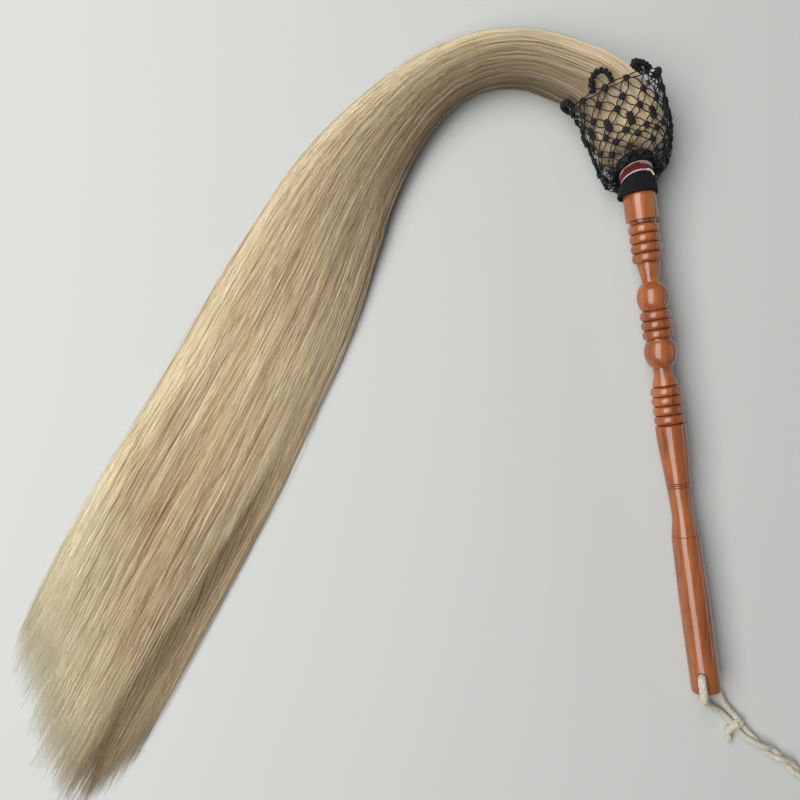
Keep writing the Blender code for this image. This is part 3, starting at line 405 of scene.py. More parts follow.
def varnished_wood():
    """Stained hardwood: long grain in three browns, darker pores and mottling, under a thick clear varnish."""
    made, shader, nodes, links = new_material("varnished_wood", GRAIN_MIDDLE, 0.38)
    shader.inputs["Coat Weight"].default_value = 0.75
    shader.inputs["Coat Roughness"].default_value = 0.045
    shader.inputs["Coat IOR"].default_value = 1.55
    place = nodes.new("ShaderNodeTexCoord")
    along = nodes.new("ShaderNodeMapping")
    along.inputs["Rotation"].default_value = (0.0, 0.0, -HANDLE_LEAN)
    along.inputs["Scale"].default_value = (1.0, 0.055, 1.0)
    grain = noise_node(nodes, 330.0, 5.0, 0.35)
    figure = noise_node(nodes, 95.0, 2.0)
    mottle = noise_node(nodes, 26.0, 2.0)
    ripple = noise_node(nodes, 120.0, 1.0)
    browns = ramp_node(nodes, (0.36, GRAIN_DARK), (0.62, GRAIN_LIGHT), (0.46, GRAIN_MIDDLE))
    tint = ramp_node(nodes, (0.35, MOTTLE_TINT), (0.6, (1.0, 1.0, 1.0)))
    shade = nodes.new("ShaderNodeMix")
    shade.data_type = "RGBA"
    shade.blend_type = "MULTIPLY"
    shade.inputs["Factor"].default_value = 0.8
    # Darker in the grooves, partly pooled varnish and partly painted shade, and down the grip.
    groove = nodes.new("ShaderNodeAttribute")
    groove.attribute_name = "groove"
    darkened = nodes.new("ShaderNodeMix")
    darkened.data_type = "RGBA"
    darkened.inputs["B"].default_value = (*DARKENED_WOOD, 1.0)
    wave = bump_node(nodes, 0.35, 0.25 * MM)
    links.new(place.outputs["Object"], along.inputs["Vector"])
    for texture in (grain, figure, ripple):
        links.new(along.outputs["Vector"], texture.inputs["Vector"])
    links.new(place.outputs["Object"], mottle.inputs["Vector"])
    links.new(join_noises(nodes, links, grain, figure), browns.inputs["Fac"])
    links.new(mottle.outputs["Fac"], tint.inputs["Fac"])
    links.new(browns.outputs["Color"], shade.inputs["A"])
    links.new(tint.outputs["Color"], shade.inputs["B"])
    links.new(shade.outputs["Result"], darkened.inputs["A"])
    links.new(groove.outputs["Fac"], darkened.inputs["Factor"])
    links.new(darkened.outputs["Result"], shader.inputs["Base Color"])
    links.new(ripple.outputs["Fac"], wave.inputs["Height"])
    links.new(wave.outputs["Normal"], shader.inputs["Coat Normal"])
    return made


outline = handle_outline()
turned_handle = turn_outline("turned_handle", [(-depth, radius) for depth, radius, _ in outline], HANDLE_STEPS)
hole_middle = SHOULDER - HEAD * ((HANDLE_LENGTH - CORD_HOLE_FROM_BUTT) * MM)
hole_way = RIGHT * math.sin(CORD_HOLE_TURN) + UP * math.cos(CORD_HOLE_TURN)
bore(turned_handle, hole_middle, hole_way, CORD_HOLE_RADIUS, 4.0 * BUTT_RADIUS)
depths = np.array([-off_axis(vertex.co)[0] / MM for vertex in turned_handle.data.vertices])
grooves = np.interp(depths, [step[0] for step in outline], [step[2] for step in outline])
grooves = np.maximum(grooves, GRIP_DARKENING * ease((depths - GRIP_DARKENING_FROM) / GRIP_DARKENING_LENGTH))
turned_handle.data.attributes.new("groove", "FLOAT", "POINT").data.foreach_set("value", grooves)
turned_handle.data.shade_smooth()
turned_handle.data.set_sharp_from_angle(angle=math.radians(38.0))
finish_piece(turned_handle, "turned_handle", varnished_wood(), "varnished_wood", "whisk", "handle")


# The binding: the hair's roots are clamped round the tenon with cord. A black cloth cuff hides the joint, and
# turns of white, red and white thread are wound above it. Everything sits askew, as on a hand-tied whisk.
NECK_RADIUS = 9.7
BAND_SLANT = math.radians(25.0)
SLANT_RISE = 8.0
SLANT_FADE_FROM = 22.0
SLANT_FADE_TO = 46.0
BAND_RADIUS = 10.0
CUFF_LENGTH = 8.0
CUFF_TOP = 7.9
CUFF_HEM = -0.9
CUFF_HEM_PUSH = 1.3
CUFF_HEM_LEFT = 1.0
CUFF_TOP_RADIUS = 11.5
CUFF_HEM_RADIUS = 13.1
CUFF_INSIDE = 11.3
CUFF_OUTLINE = (
    (CUFF_TOP, BAND_RADIUS), (CUFF_TOP + 0.3, BAND_RADIUS + 0.7), (CUFF_TOP, CUFF_TOP_RADIUS),
    (6.9, 12.0), (5.6, 12.35), (4.0, 12.65), (2.6, 12.85), (1.2, 13.0), (0.0, 13.1), (CUFF_HEM, CUFF_HEM_RADIUS),
    (CUFF_HEM - 0.35, 12.7), (CUFF_HEM, 12.1), (0.6, CUFF_INSIDE), (4.9, CUFF_INSIDE), (5.1, BAND_RADIUS),
)
CUFF_STEPS = 96
CUFF_CREASE = 0.42
CUFF_FUZZ = 0.14
CUFF_HEM_WAVER = 0.7
THREAD_RADIUS = 0.56
THREAD_LAY = 1.22
PLY_REACH, PLY_TWIST, PLY_RADIUS = 0.26 * MM, 420.0, 0.33 * MM
TURN_POINTS = 110
LOWER_WHITE_FROM, WHITE_TURNS = 7.9, 1.25
RED_FROM, RED_TURNS = 9.9, 3.05
UPPER_WHITE_FROM = 13.6
THREAD_WAVER = 0.16
ROOT_CORD_FROM, ROOT_CORD_TURNS, ROOT_CORD_LAY = 0.8, 4, 0.85
# The lower white thread's loose end, as heights, rises off the band and angles from the top.
LOOSE_THREAD = (
    (9.4, 0.9, 24.0), (9.0, 1.6, 30.0), (8.2, 2.1, 36.0), (7.2, 2.5, 40.0), (6.2, 3.0, 42.0),
)


def slant_at(height, radius):
    """How far the top of a ring is pushed along the axis, and its underside pulled back."""
    full = np.minimum(radius * math.tan(BAND_SLANT), SLANT_RISE)
    grown = np.clip(height / CUFF_LENGTH, 0.0, 1.0)
    return full * grown * (1.0 - ease((height - SLANT_FADE_FROM) / (SLANT_FADE_TO - SLANT_FADE_FROM)))


def neck_point(height, radius, angle):
    """A place on the neck: height above the shoulder, radius, and the angle from the top, all in millimetres."""
    push = float(slant_at(height, radius)) * math.cos(angle)
    around = RIGHT * math.sin(angle) + UP * math.cos(angle)
    return SHOULDER + HEAD * ((height + push) * MM) + around * (radius * MM)


def wind(start, turns, radius, lay, waver=0.0, seed=0.0):
    """Turns of thread round the neck."""
    count = round(turns * TURN_POINTS) + 1
    route = []
    for at in range(count):
        turn = at / TURN_POINTS
        stray = waver * noise.noise(Vector((3.0 * turn, seed, 0.0)))
        route.append(neck_point(start + turn * lay + stray, radius + 0.5 * stray, turn * math.tau))
    return route


def slant_piece(piece):
    """Pushes a turned ring's top along the axis and pulls its underside back, as the neck is."""
    for vertex in piece.data.vertices:
        height, outward = off_axis(vertex.co)
        radius = outward.length
        vertex.co += HEAD * (float(slant_at(height / MM, radius / MM)) * MM * outward.dot(UP) / radius)


def angle_from_top(outward):
    """The angle round the axis, from its upper side to its right one."""
    return math.atan2(outward.dot(RIGHT), outward.dot(UP))


def runs_along(places):
    """How far along a line of places each of them lies."""
    return np.concatenate([[0.0], np.cumsum(np.linalg.norm(np.diff(places, axis=0), axis=1))])


def smooth_route(points, count, steps=16):
    """count points on a smooth curve through the given ones, evenly spaced along it."""
    rows = np.array([tuple(point) for point in points], dtype=float)
    ends = np.vstack([2.0 * rows[0] - rows[1], rows, 2.0 * rows[-1] - rows[-2]])
    share = np.linspace(0.0, 1.0, steps, endpoint=False)[:, None]
    fine = []
    for before, start, end, after in zip(ends, ends[1:], ends[2:], ends[3:]):
        linear = 2.0 * start + (end - before) * share
        square = (2.0 * before - 5.0 * start + 4.0 * end - after) * share**2
        cube = (3.0 * start - before - 3.0 * end + after) * share**3
        fine.append(0.5 * (linear + square + cube))
    fine = np.vstack([*fine, rows[-1]])
    run = runs_along(fine)
    wanted = np.linspace(0.0, run[-1], count)
    return np.column_stack([np.interp(wanted, run, fine[:, axis]) for axis in range(rows.shape[1])])


def route_length(points):
    """How long a line of places is."""
    return float(np.linalg.norm(np.diff(np.array(points), axis=0), axis=1).sum())


def place_object(name, data):
    made = bpy.data.objects.new(name, data)
    bpy.context.scene.collection.objects.link(made)
    return made


def lay_threads(name, routes, radius, resolution=1, closed=False, shares=None, profile=None, twist=0.0):
    """Lays a thread along each route as one curve, and makes the curve a mesh. shares swell or thin it."""
    curve = bpy.data.curves.new(name, "CURVE")
    curve.dimensions = "3D"
    if profile:
        curve.bevel_mode = "OBJECT"
        curve.bevel_object = profile
    curve.bevel_depth = radius
    curve.bevel_resolution = resolution
    curve.use_fill_caps = not closed
    for route in routes:
        places = np.array([tuple(point) for point in route])
        spline = curve.splines.new("POLY")
        spline.points.add(len(places) - 1)
        spline.points.foreach_set("co", np.column_stack([places, np.ones(len(places))]).ravel())
        spline.use_cyclic_u = closed
        if shares is not None:
            spline.points.foreach_set("radius", np.array(shares, dtype=float))
        if twist:
            spline.points.foreach_set("tilt", runs_along(places) * twist * math.tau)
    select_only(place_object(name, curve))
    bpy.ops.object.convert(target="MESH")
    bpy.ops.object.shade_smooth()
    return bpy.context.object


def twist_plies(route, reach=PLY_REACH, turns_per_metre=PLY_TWIST, plies=3):
    """The plies of a thread, each wound round the thread's middle line."""
    places = [Vector(place) for place in route]
    step = route_length(places) / (len(places) - 1)
    aside = (places[1] - places[0]).orthogonal().normalized()
    strands = [[] for _ in range(plies)]
    for at, place in enumerate(places):
        ahead = (places[min(at + 1, len(places) - 1)] - places[max(at - 1, 0)]).normalized()
        aside = (aside - ahead * aside.dot(ahead)).normalized()
        over = ahead.cross(aside)
        for ply, strand in enumerate(strands):
            turn = math.tau * (turns_per_metre * step * at + ply / plies)
            strand.append(place + (aside * math.cos(turn) + over * math.sin(turn)) * reach)
    return strands


def wind_thread(name, node, start, turns, finish, slot, seed):
    """One band of thread, wound side by side round the neck."""
    route = wind(start, turns, BAND_RADIUS + THREAD_RADIUS, THREAD_LAY, THREAD_WAVER, seed)
    finish_piece(lay_threads(name, twist_plies(route), PLY_RADIUS), name, finish, slot, "whisk", node)


def make_fibre_lay():
    """A node group: fine fibres and larger tufts that cover thread and cloth, as a shade and a height."""
    group = bpy.data.node_groups.new("fibre lay", "ShaderNodeTree")
    group.interface.new_socket(name="Vector", in_out="INPUT", socket_type="NodeSocketVector")
    for name, way in (("Fibres", "INPUT"), ("Tufts", "INPUT"), ("Shade", "OUTPUT"), ("Height", "OUTPUT")):
        group.interface.new_socket(name=name, in_out=way, socket_type="NodeSocketFloat")
    given, result = group.nodes.new("NodeGroupInput"), group.nodes.new("NodeGroupOutput")
    fibres, tufts = noise_node(group.nodes, 1500.0, 3.0), noise_node(group.nodes, 350.0, 2.0)
    for texture, scale in ((fibres, "Fibres"), (tufts, "Tufts")):
        group.links.new(given.outputs["Vector"], texture.inputs["Vector"])
        group.links.new(given.outputs[scale], texture.inputs["Scale"])
    both = join_noises(group.nodes, group.links, fibres, tufts)
    group.links.new(both, result.inputs["Height"])
    group.links.new(both, result.inputs["Shade"])
    return group


fibre_lay = make_fibre_lay()


def thread_material(name, dark, light, fibres, tufts, depth, sheen, gloss=0.25, roughness=0.9):
    """Cotton, thread or cloth: two shades of fibre over a fine rough relief, with a soft sheen."""
    made, shader, nodes, links = new_material(name, light, roughness)
    shader.inputs["Sheen Weight"].default_value = sheen
    shader.inputs["Sheen Roughness"].default_value = 0.5
    shader.inputs["Specular IOR Level"].default_value = gloss
    place = nodes.new("ShaderNodeTexCoord")
    lay = nodes.new("ShaderNodeGroup")
    lay.node_tree = fibre_lay
    lay.inputs["Fibres"].default_value = fibres
    lay.inputs["Tufts"].default_value = tufts
    ramp = ramp_node(nodes, (0.32, dark), (0.62, light))
    bump = bump_node(nodes, 0.8, depth)
    links.new(place.outputs["Object"], lay.inputs["Vector"])
    links.new(lay.outputs["Shade"], ramp.inputs["Fac"])
    links.new(ramp.outputs["Color"], shader.inputs["Base Color"])
    links.new(lay.outputs["Height"], bump.inputs["Height"])
    links.new(bump.outputs["Normal"], shader.inputs["Normal"])
    return made


black_wool = thread_material(
    "black_cloth", (0.003, 0.003, 0.004), (0.018, 0.019, 0.024), 2200.0, 620.0, 0.5 * MM, 0.03, 0.12
)
white_silk = thread_material(
    "white_thread", (0.50, 0.46, 0.40), (0.80, 0.76, 0.69), 2600.0, 700.0, 0.1 * MM, 0.2, 0.4
)
red_silk = thread_material(
    "red_thread", (0.10, 0.006, 0.012), (0.30, 0.018, 0.032), 2600.0, 700.0, 0.1 * MM, 0.12, 0.4
)
hemp = thread_material("binding_cord", (0.28, 0.22, 0.14), (0.46, 0.38, 0.25), 2000.0, 500.0, 0.15 * MM, 0.1)

root_turns = wind(ROOT_CORD_FROM, ROOT_CORD_TURNS, BAND_RADIUS + 0.4, ROOT_CORD_LAY)
root_cord = lay_threads("root_cord", twist_plies(root_turns, 0.16 * MM, 500.0), 0.22 * MM)
finish_piece(root_cord, "root_cord", hemp, "binding_cord", "whisk", "root_binding")

cuff = turn_outline("cloth_cuff", CUFF_OUTLINE, CUFF_STEPS, closed=True)
for vertex in cuff.data.vertices:
    height, outward = off_axis(vertex.co)
    if outward.length < (CUFF_INSIDE + 0.5) * MM:
        continue
    angle = angle_from_top(outward)
    crease = noise.noise(Vector((4.2 * math.cos(angle), 4.2 * math.sin(angle), 150.0 * height)))
    fine = noise.noise(vertex.co * 900.0)
    hem = noise.noise(Vector((1.7 * math.cos(angle), 1.7 * math.sin(angle), 7.0)))
    low = 1.0 - min(max(height / (CUFF_TOP * MM), 0.0), 1.0)
    flare = CUFF_HEM_LEFT * low * (0.35 - math.sin(angle))
    vertex.co += outward.normalized() * ((CUFF_CREASE * crease + CUFF_FUZZ * fine + flare) * MM)
    vertex.co += HEAD * ((CUFF_HEM_WAVER * hem + CUFF_HEM_PUSH * math.cos(angle)) * low * MM)
slant_piece(cuff)
cuff.data.shade_smooth()
finish_piece(cuff, "cloth_cuff", black_wool, "black_cloth", "whisk", "black_cuff")

for name, node, start, turns, finish, slot, seed in (
    ("white_thread_lower", "white_winding_lower", LOWER_WHITE_FROM, WHITE_TURNS, white_silk, "white_thread", 1.0),
    ("red_thread_turns", "red_winding", RED_FROM, RED_TURNS, red_silk, "red_thread", 5.0),
    ("white_thread_upper", "white_winding_upper", UPPER_WHITE_FROM, WHITE_TURNS, white_silk, "white_thread", 9.0),
):
    wind_thread(name, node, start, turns, finish, slot, seed)

loose_thread = [neck_point(up, BAND_RADIUS + rise, math.radians(turn)) for up, rise, turn in LOOSE_THREAD]
loose_end = lay_threads("white_thread_end", twist_plies(smooth_route(loose_thread, 26)), PLY_RADIUS)
finish_piece(loose_end, "white_thread_end", white_silk, "white_thread", "whisk", "white_winding_lower")


# The hair: one long bundle of blond horse tail hair, tied round the tenon and held by nothing else. It swells out
# of the binding, arches over to the left, and runs out flat on the table to a slanted, thin and ragged end. The
# strands are laid in code, because no operator can: over a plain mass, two lengths of them, one at each bend.

# The bundle's line and size: its heights on the neck, its flare out of the binding as runs and radii, and its
# stations beyond as x, y, half width and half height. At each, its edges move by HAIR_EDGES, outer and inner.
HAIR_FOOT = (0.0, 7.0, 14.0, 19.0, 22.5)
HAIR_FLARE = ((0.0, NECK_RADIUS), (22.4, NECK_RADIUS), (24.0, 13.6), (26.0, 18.2))
HAIR_STATIONS = (
    (-4.9, 28.6, 22.4, 22.0), (-10.0, 46.5, 25.6, 23.4), (-19.0, 63.8, 24.4, 22.8), (-37.7, 79.8, 22.4, 20.2),
    (-65.9, 90.8, 21.8, 18.6), (-93.7, 92.3, 21.9, 17.2), (-120.9, 84.9, 23.3, 15.9), (-144.9, 69.8, 26.2, 14.4),
    (-167.6, 49.8, 29.7, 12.8), (-191.9, 23.8, 33.3, 11.4), (-210.7, -3.0, 37.5, 10.2), (-241.5, -67.3, 48.7, 8.2),
    (-273.7, -134.1, 54.4, 7.4), (-309.9, -201.2, 58.7, 6.5), (-346.6, -269.2, 60.0, 5.7), (-432.0, -427.4, 60.0, 3.7),
)
HAIR_EDGES = (
    (0.0, 0.0), (0.0, 0.0), (-1.0, 1.0), (-2.5, 2.0), (-1.2, 6.0), (-0.5, 7.0), (-0.5, 8.0), (-0.8, 8.5), (-1.2, 6.0),
    (-2.2, 0.0), (-3.0, -3.0), (-3.5, -0.8), (-3.8, 3.6), (-3.2, 3.5), (-1.5, 4.0), (-2.5, 3.0),
)
# It lies down on the table between these runs, and ends at a run for each place from its inner to its outer edge.
HAIR_REST = 0.4
HAIR_LIES = (78.0, 112.0)
HAIR_ENDS = (
    (-1.0, 712.0), (-0.8, 748.0), (-0.6, 762.0), (-0.4, 765.0), (-0.2, 759.0), (0.0, 750.0), (0.2, 738.0),
    (0.4, 723.0), (0.6, 713.0), (0.8, 700.0), (1.0, 672.0),
)
SIZES_EASED_FROM, SIZES_EASED_OVER, SIZES_EASED_BY = 50.0, 30.0, 18
UNDERSIDE_POWER = 0.3
FLAT_FROM, FLAT_OVER, FLAT_SHARE = 280.0, 200.0, 0.8
SEAM = 165.0
UPPER_BEND = (62.0, 116.0)
LOWER_BEND = (200.0, 270.0)
SEAM_TAPER, SEAM_THIN = 3.0, 0.2
# The strands: shares of them that lie on top, underneath, apart at the edges or astray, and by how much. The two
# edges' strands are counted in LOOSE_OUTSIDE and LOOSE_INSIDE.
STRANDS = 7000
STRAND_RADIUS, STRAND_SIZES = 0.185, (0.8, 1.15)
TOP_STRANDS, TOP_LAYER = 0.66, 0.20
UNDER_STRANDS, UNDER_LAYER = 0.14, 0.14
ROUND_FOOT, EVEN_FOOT, INNER_LAYERS = 0.985, 0.99, (0.03, 0.85)
EDGE_PLACE, EDGE_SPREAD, EDGE_LIMIT = 0.97, 0.04, 0.09
DRIFT, DRIFT_OVER, DRIFT_AT_END, WANDERERS, WANDER = 0.012, 260.0, 2.6, 0.10, 0.07
SHORTER_BY, SHORT_STRANDS, MUCH_SHORTER_BY, LOCK_ENDS = 84.0, 0.15, 150.0, 6.0
LOCK_WAVES, STRAND_WAVES, LIFT_WAVES = (220.0, 460.0), (150.0, 380.0), (120.0, 300.0)
LOCK_SWING, SWINGS_FROM, SWINGS_OVER = (0.1, 0.55), 200.0, 500.0
STRAND_SWAY, STRAND_RISE, LOOSENS_FROM, LOOSENS_OVER = (0.15, 0.55), (0.12, 0.2), 40.0, 240.0
STRAY_STRANDS, STRAY, FLYAWAY, FLIES_FROM, FLYAWAY_REACH = 0.05, 2.4, (9.0, 18.0), 5.0, 0.12
LOOSE_THINNER, FLYAWAY_THINNER = 0.6, 0.5
# The tips: over their last stretch the strands turn aside, gather in locks, sink to the table and thin out.
TIP_TURN, TIP_TURN_OVER = 2.6, 90.0
TIP_GATHER, TIP_GATHER_OVER = 0.2, 190.0
TIP_LEVEL, TIP_LEVEL_OVER = 0.9, 200.0
TIP_THIN, TIP_THIN_OVER = 0.8, 130.0
# A strand's tone is the middle one and changes at random in patches. It is painted darker as shade in valleys, in
# partings and underneath, and painted paler as light on the outer side and at the tips.
STRAND_TONES, LOCK_TONES = 0.16, 0.035
MIDDLE_TONE, PATCH_TONE, VALLEY_PAINTED_SHADE, DEEP_PAINTED_SHADE, PARTING_PAINTED_SHADE = 0.54, 0.055, -0.6, -0.14, -0.11
# Painted light: the lit outer side and the tips are painted paler.
OUTER_PAINTED_LIGHT, TIP_PAINTED_LIGHT = 0.18, 0.5
UPPER_STOPS = (
    19.5, 22.4, 24.2, 26.4, 30.0, 36.0, 44.0, 54.0, 65.0, 76.0, 88.0, 101.0, 114.0, 127.0, 140.0, 153.0,
    SEAM - SEAM_TAPER, SEAM, SEAM + SEAM_TAPER,
)
LOWER_STOPS = 17
LOCKS = 110
LOOSE_OUTSIDE, LOOSE_INSIDE, FLYAWAYS = 330, 150, 26
# The lying hair parts along three lines, as runs and places across. The first cuts off a flat lock on its inner
# side. Each has the runs where it begins and is full, its half width and its depth.
LOCK_EDGE = (
    (350.0, -0.99), (498.0, -0.90), (560.0, -0.84), (632.0, -0.71), (670.0, -0.66), (700.0, -0.61), (760.0, -0.58),
)
VALLEYS = (
    (LOCK_EDGE, 390.0, 600.0, 0.10, 0.85),
    (((430.0, 0.16), (500.0, 0.10), (580.0, 0.07), (760.0, 0.0)), 440.0, 560.0, 0.034, 0.22),
    (((520.0, -0.20), (620.0, -0.22), (760.0, -0.12)), 560.0, 660.0, 0.034, 0.22),
)
VALLEY_FADE, VALLEY_CUT = 60.0, 0.8
VALLEY_PUSH, VALLEY_PUSH_LOSS, PUSH_LOST_FROM, PUSH_LOST_OVER = 0.5, 0.4, 600.0, 90.0
LOCK_FROM, LOCK_OVER, LOCK_EDGE_WIDTH, LOCK_THINNER = 400.0, 90.0, 0.08, 0.38
# Short partings lie all over the bundle.
PARTINGS = 240
PARTING_RUNS = ((70.0, 330.0), (250.0, 700.0))
PARTING_PLACES = (-0.95, 0.9)
PARTING_SLANT = 0.012
PARTING_LENGTH = (18.0, 80.0)
PARTING_WIDTH = (0.3, 0.9)
PARTING_STRENGTH = (0.2, 1.0)
PARTING_RELIEF = 0.3
HAIR_PALE = (0.98, 0.885, 0.63)
HAIR_BLOND = (0.69, 0.52, 0.30)
HAIR_BROWN = (0.35, 0.24, 0.13)
# Painted shade: these darken the hair's colour on its inner side, over the top of the arch and on the flat lock.
HAIR_PAINTED_SHADE_TINT = (0.80, 0.80, 0.82)
HAIR_DEEPEST_PAINTED_SHADE = (0.36, 0.33, 0.31)
STREAKS = 9
# Painted shade: the hair is left bright on the outer side, and painted darker on the inner one, on the flat lock, and
# over the top of the arch between these runs.
BRIGHT, INNER_PAINTED_SHADE, ARCH_PAINTED_SHADE, LOCK_PAINTED_SHADE = 0.76, 0.26, 0.5, 0.1
ARCH_SHADE_FROM, ARCH_SHADE_OVER, ARCH_SHADE_FADES_FROM, ARCH_SHADE_FADES_OVER = 45.0, 50.0, 190.0, 270.0


def read_table(table, at, column=1):
    """A column of a table, read between its rows. Its first column says where each row stands."""
    return np.interp(at, [row[0] for row in table], [row[column] for row in table])


def bundle_line():
    """The plan of the bundle's middle line in millimetres from the shoulder, with its distance and stations."""
    foot = [tuple((HEAD * height).xy) for height in HAIR_FOOT]
    plan = foot + [(x, y) for x, y, _, _ in HAIR_STATIONS]
    fine = smooth_route(plan, 1600)
    runs = runs_along(fine)
    marks = [runs[np.argmin(np.linalg.norm(fine - mark, axis=1))] for mark in plan[len(foot) :]]
    return runs, fine, marks


def bundle_sizes():
    """The bundle's half width and half height for each millimetre of its run, eased between the stations."""
    at = np.arange(0.0, 900.0)
    runs = [run for run, _ in HAIR_FLARE] + list(STATION_RUNS)
    sizes = []
    for column in (2, 3):
        values = [radius for _, radius in HAIR_FLARE] + [row[column] for row in HAIR_STATIONS]
        plain = np.interp(at, runs, values)
        window = 2 * SIZES_EASED_BY + 1
        soft = np.convolve(np.pad(plain, SIZES_EASED_BY, mode="edge"), np.full(window, 1.0 / window), mode="valid")
        sizes.append(plain + (soft - plain) * ease((at - SIZES_EASED_FROM) / SIZES_EASED_OVER))
    return at, *sizes


LINE_RUNS, LINE_PLAN, STATION_RUNS = bundle_line()
LINE_PLACES = LINE_PLAN + np.array([shoulder_x, shoulder_y]) / MM
LINE_HEADING = np.gradient(LINE_PLACES, LINE_RUNS, axis=0)
SIZE_RUNS, HALF_WIDTHS, HALF_HEIGHTS = bundle_sizes()


def bundle_frame(run):
    """The bundle's middle, its heading and its right side at each run, with half width, half height and lie."""
    middle = np.column_stack([np.interp(run, LINE_RUNS, LINE_PLACES[:, axis]) for axis in (0, 1)])
    ahead = np.column_stack([np.interp(run, LINE_RUNS, LINE_HEADING[:, axis]) for axis in (0, 1)])
    beyond = np.maximum(run - LINE_RUNS[-1], 0.0)[:, None]
    ahead /= np.linalg.norm(ahead, axis=1)[:, None]
    middle = middle + ahead * beyond
    half_width = np.interp(run, SIZE_RUNS, HALF_WIDTHS)
    half_height = np.interp(run, SIZE_RUNS, HALF_HEIGHTS)
    lies = ease((run - HAIR_LIES[0]) / (HAIR_LIES[1] - HAIR_LIES[0]))
    held = SHOULDER_HEIGHT + TILT * run
    height = held + (half_height - HAIR_REST - held) * lies
    side = np.column_stack([ahead[:, 1], -ahead[:, 0]])
    return np.column_stack([middle, height]), ahead, side, half_width, half_height, lies


def valley_depth(run, across):
    """How deep the partings of the lying hair are at a place, and how far they push it aside."""
    depth, aside = np.zeros(run.shape), np.zeros(run.shape)
    for line, start, full, width, strength in VALLEYS:
        middle = read_table(line, run)
        grown = strength * ease((run - start) / (full - start)) * (1.0 - ease((run - line[-1][0]) / VALLEY_FADE))
        off = (across - middle) / width
        near = grown * np.exp(-off * off)
        depth = np.maximum(depth, near)
        push = VALLEY_PUSH - VALLEY_PUSH_LOSS * ease((run - PUSH_LOST_FROM) / PUSH_LOST_OVER)
        aside += near * np.sign(off) * width * push
    return depth, aside


def parting_depth(run, across):
    """How deep the short partings are at a place, from 0 to 1."""
    depth = np.zeros(run.shape)
    half_width = np.interp(run, SIZE_RUNS, HALF_WIDTHS)
    for middle, place, slope, length, width, strength in partings:
        along = (run - middle) / length
        close = np.abs(along) < 1.0
        off = (across[close] - place - slope * along[close]) * half_width[close] / width
        near = strength * (1.0 - along[close] ** 2) ** 2 * np.exp(-off * off)
        depth[close] = np.maximum(depth[close], near)
    return depth


def part_hair(rng):
    """Short partings all over the bundle: where each is, how it slants, its length, width and depth."""
    middles = np.concatenate([rng.uniform(*runs, PARTINGS // 2) for runs in PARTING_RUNS])
    places = rng.uniform(*PARTING_PLACES, len(middles))
    slopes = rng.normal(0.0, PARTING_SLANT, len(middles))
    lengths = rng.uniform(*PARTING_LENGTH, len(middles)) * (0.6 + middles / 700.0)
    widths = rng.uniform(*PARTING_WIDTH, len(middles))
    strengths = rng.uniform(*PARTING_STRENGTH, len(middles))
    return np.column_stack([middles, places, slopes, lengths, widths, strengths])


partings = part_hair(np.random.default_rng(3))


def lock_flatness(run, across):
    """1 on the flat lock that lies apart on the inner side of the tail, and 0 on the rest of it."""
    within = ease((read_table(LOCK_EDGE, run) - across) / LOCK_EDGE_WIDTH)
    return within * ease((run - LOCK_FROM) / LOCK_OVER)


def hair_places(run, across, level, lift=None):
    """Places in the bundle, in metres: across from its inner to its outer edge, level from underside to top."""
    shape = run.shape
    run, across, level = run.ravel(), across.ravel(), level.ravel()
    middle, ahead, side, half_width, half_height, lies = bundle_frame(run)
    depth, aside = valley_depth(run, across)
    flat = lock_flatness(run, across)
    arch = np.sqrt(np.clip(1.0 - across * across, 0.0, 1.0))
    top = half_height * arch
    bottom = np.minimum(half_height * arch ** (1.0 + (UNDERSIDE_POWER - 1.0) * lies), middle[:, 2])
    spread = FLAT_SHARE * ease((run - FLAT_FROM) / FLAT_OVER)
    under = (middle[:, 2] - bottom) * (1.0 - spread) + HAIR_REST * spread
    over = (middle[:, 2] + top) * (1.0 - spread) + np.maximum(2.0 * top, HAIR_REST) * spread
    over = under + np.maximum(over - under, 0.0) * (1.0 - LOCK_THINNER * flat) * (1.0 - VALLEY_CUT * depth)
    height = under + (over - under) * level
    if lift is not None:
        height = np.maximum(height + lift.ravel(), HAIR_REST)
    push = slant_at(run, NECK_RADIUS) * (height - middle[:, 2]) / half_height
    outer = np.interp(run, STATION_RUNS, [row[0] for row in HAIR_EDGES]) * 0.5 * (1.0 + across)
    inner = np.interp(run, STATION_RUNS, [row[1] for row in HAIR_EDGES]) * 0.5 * (1.0 - across)
    sideways = (across + aside) * half_width + outer + inner
    plan = middle[:, :2] + side * sideways[:, None] + ahead * push[:, None]
    return (np.column_stack([plan, height]) * MM).reshape(*shape, 3)


def streaks(run, across):
    """Soft streaks that run with the hair, as a sum of long waves: about -1 to 1. They are the same in each part."""
    rng = np.random.default_rng(5)
    total = np.zeros(run.shape)
    for _ in range(STREAKS):
        crossways, lengthways = rng.uniform(9.0, 46.0), rng.uniform(0.004, 0.016)
        slant = run * lengthways * math.tau * rng.choice((-1.0, 1.0))
        total += np.sin(across * crossways + slant + rng.uniform(0, 9))
    return total / math.sqrt(STREAKS)


def mark_hair(mesh, tone, gloss):
    """Stores how pale the hair is at each corner, and its painted shade as gloss, for the horsehair's material."""
    for label, values in (("tone", tone), ("gloss", gloss)):
        mesh.attributes.new(label, "FLOAT", "POINT").data.foreach_set("value", values.ravel())


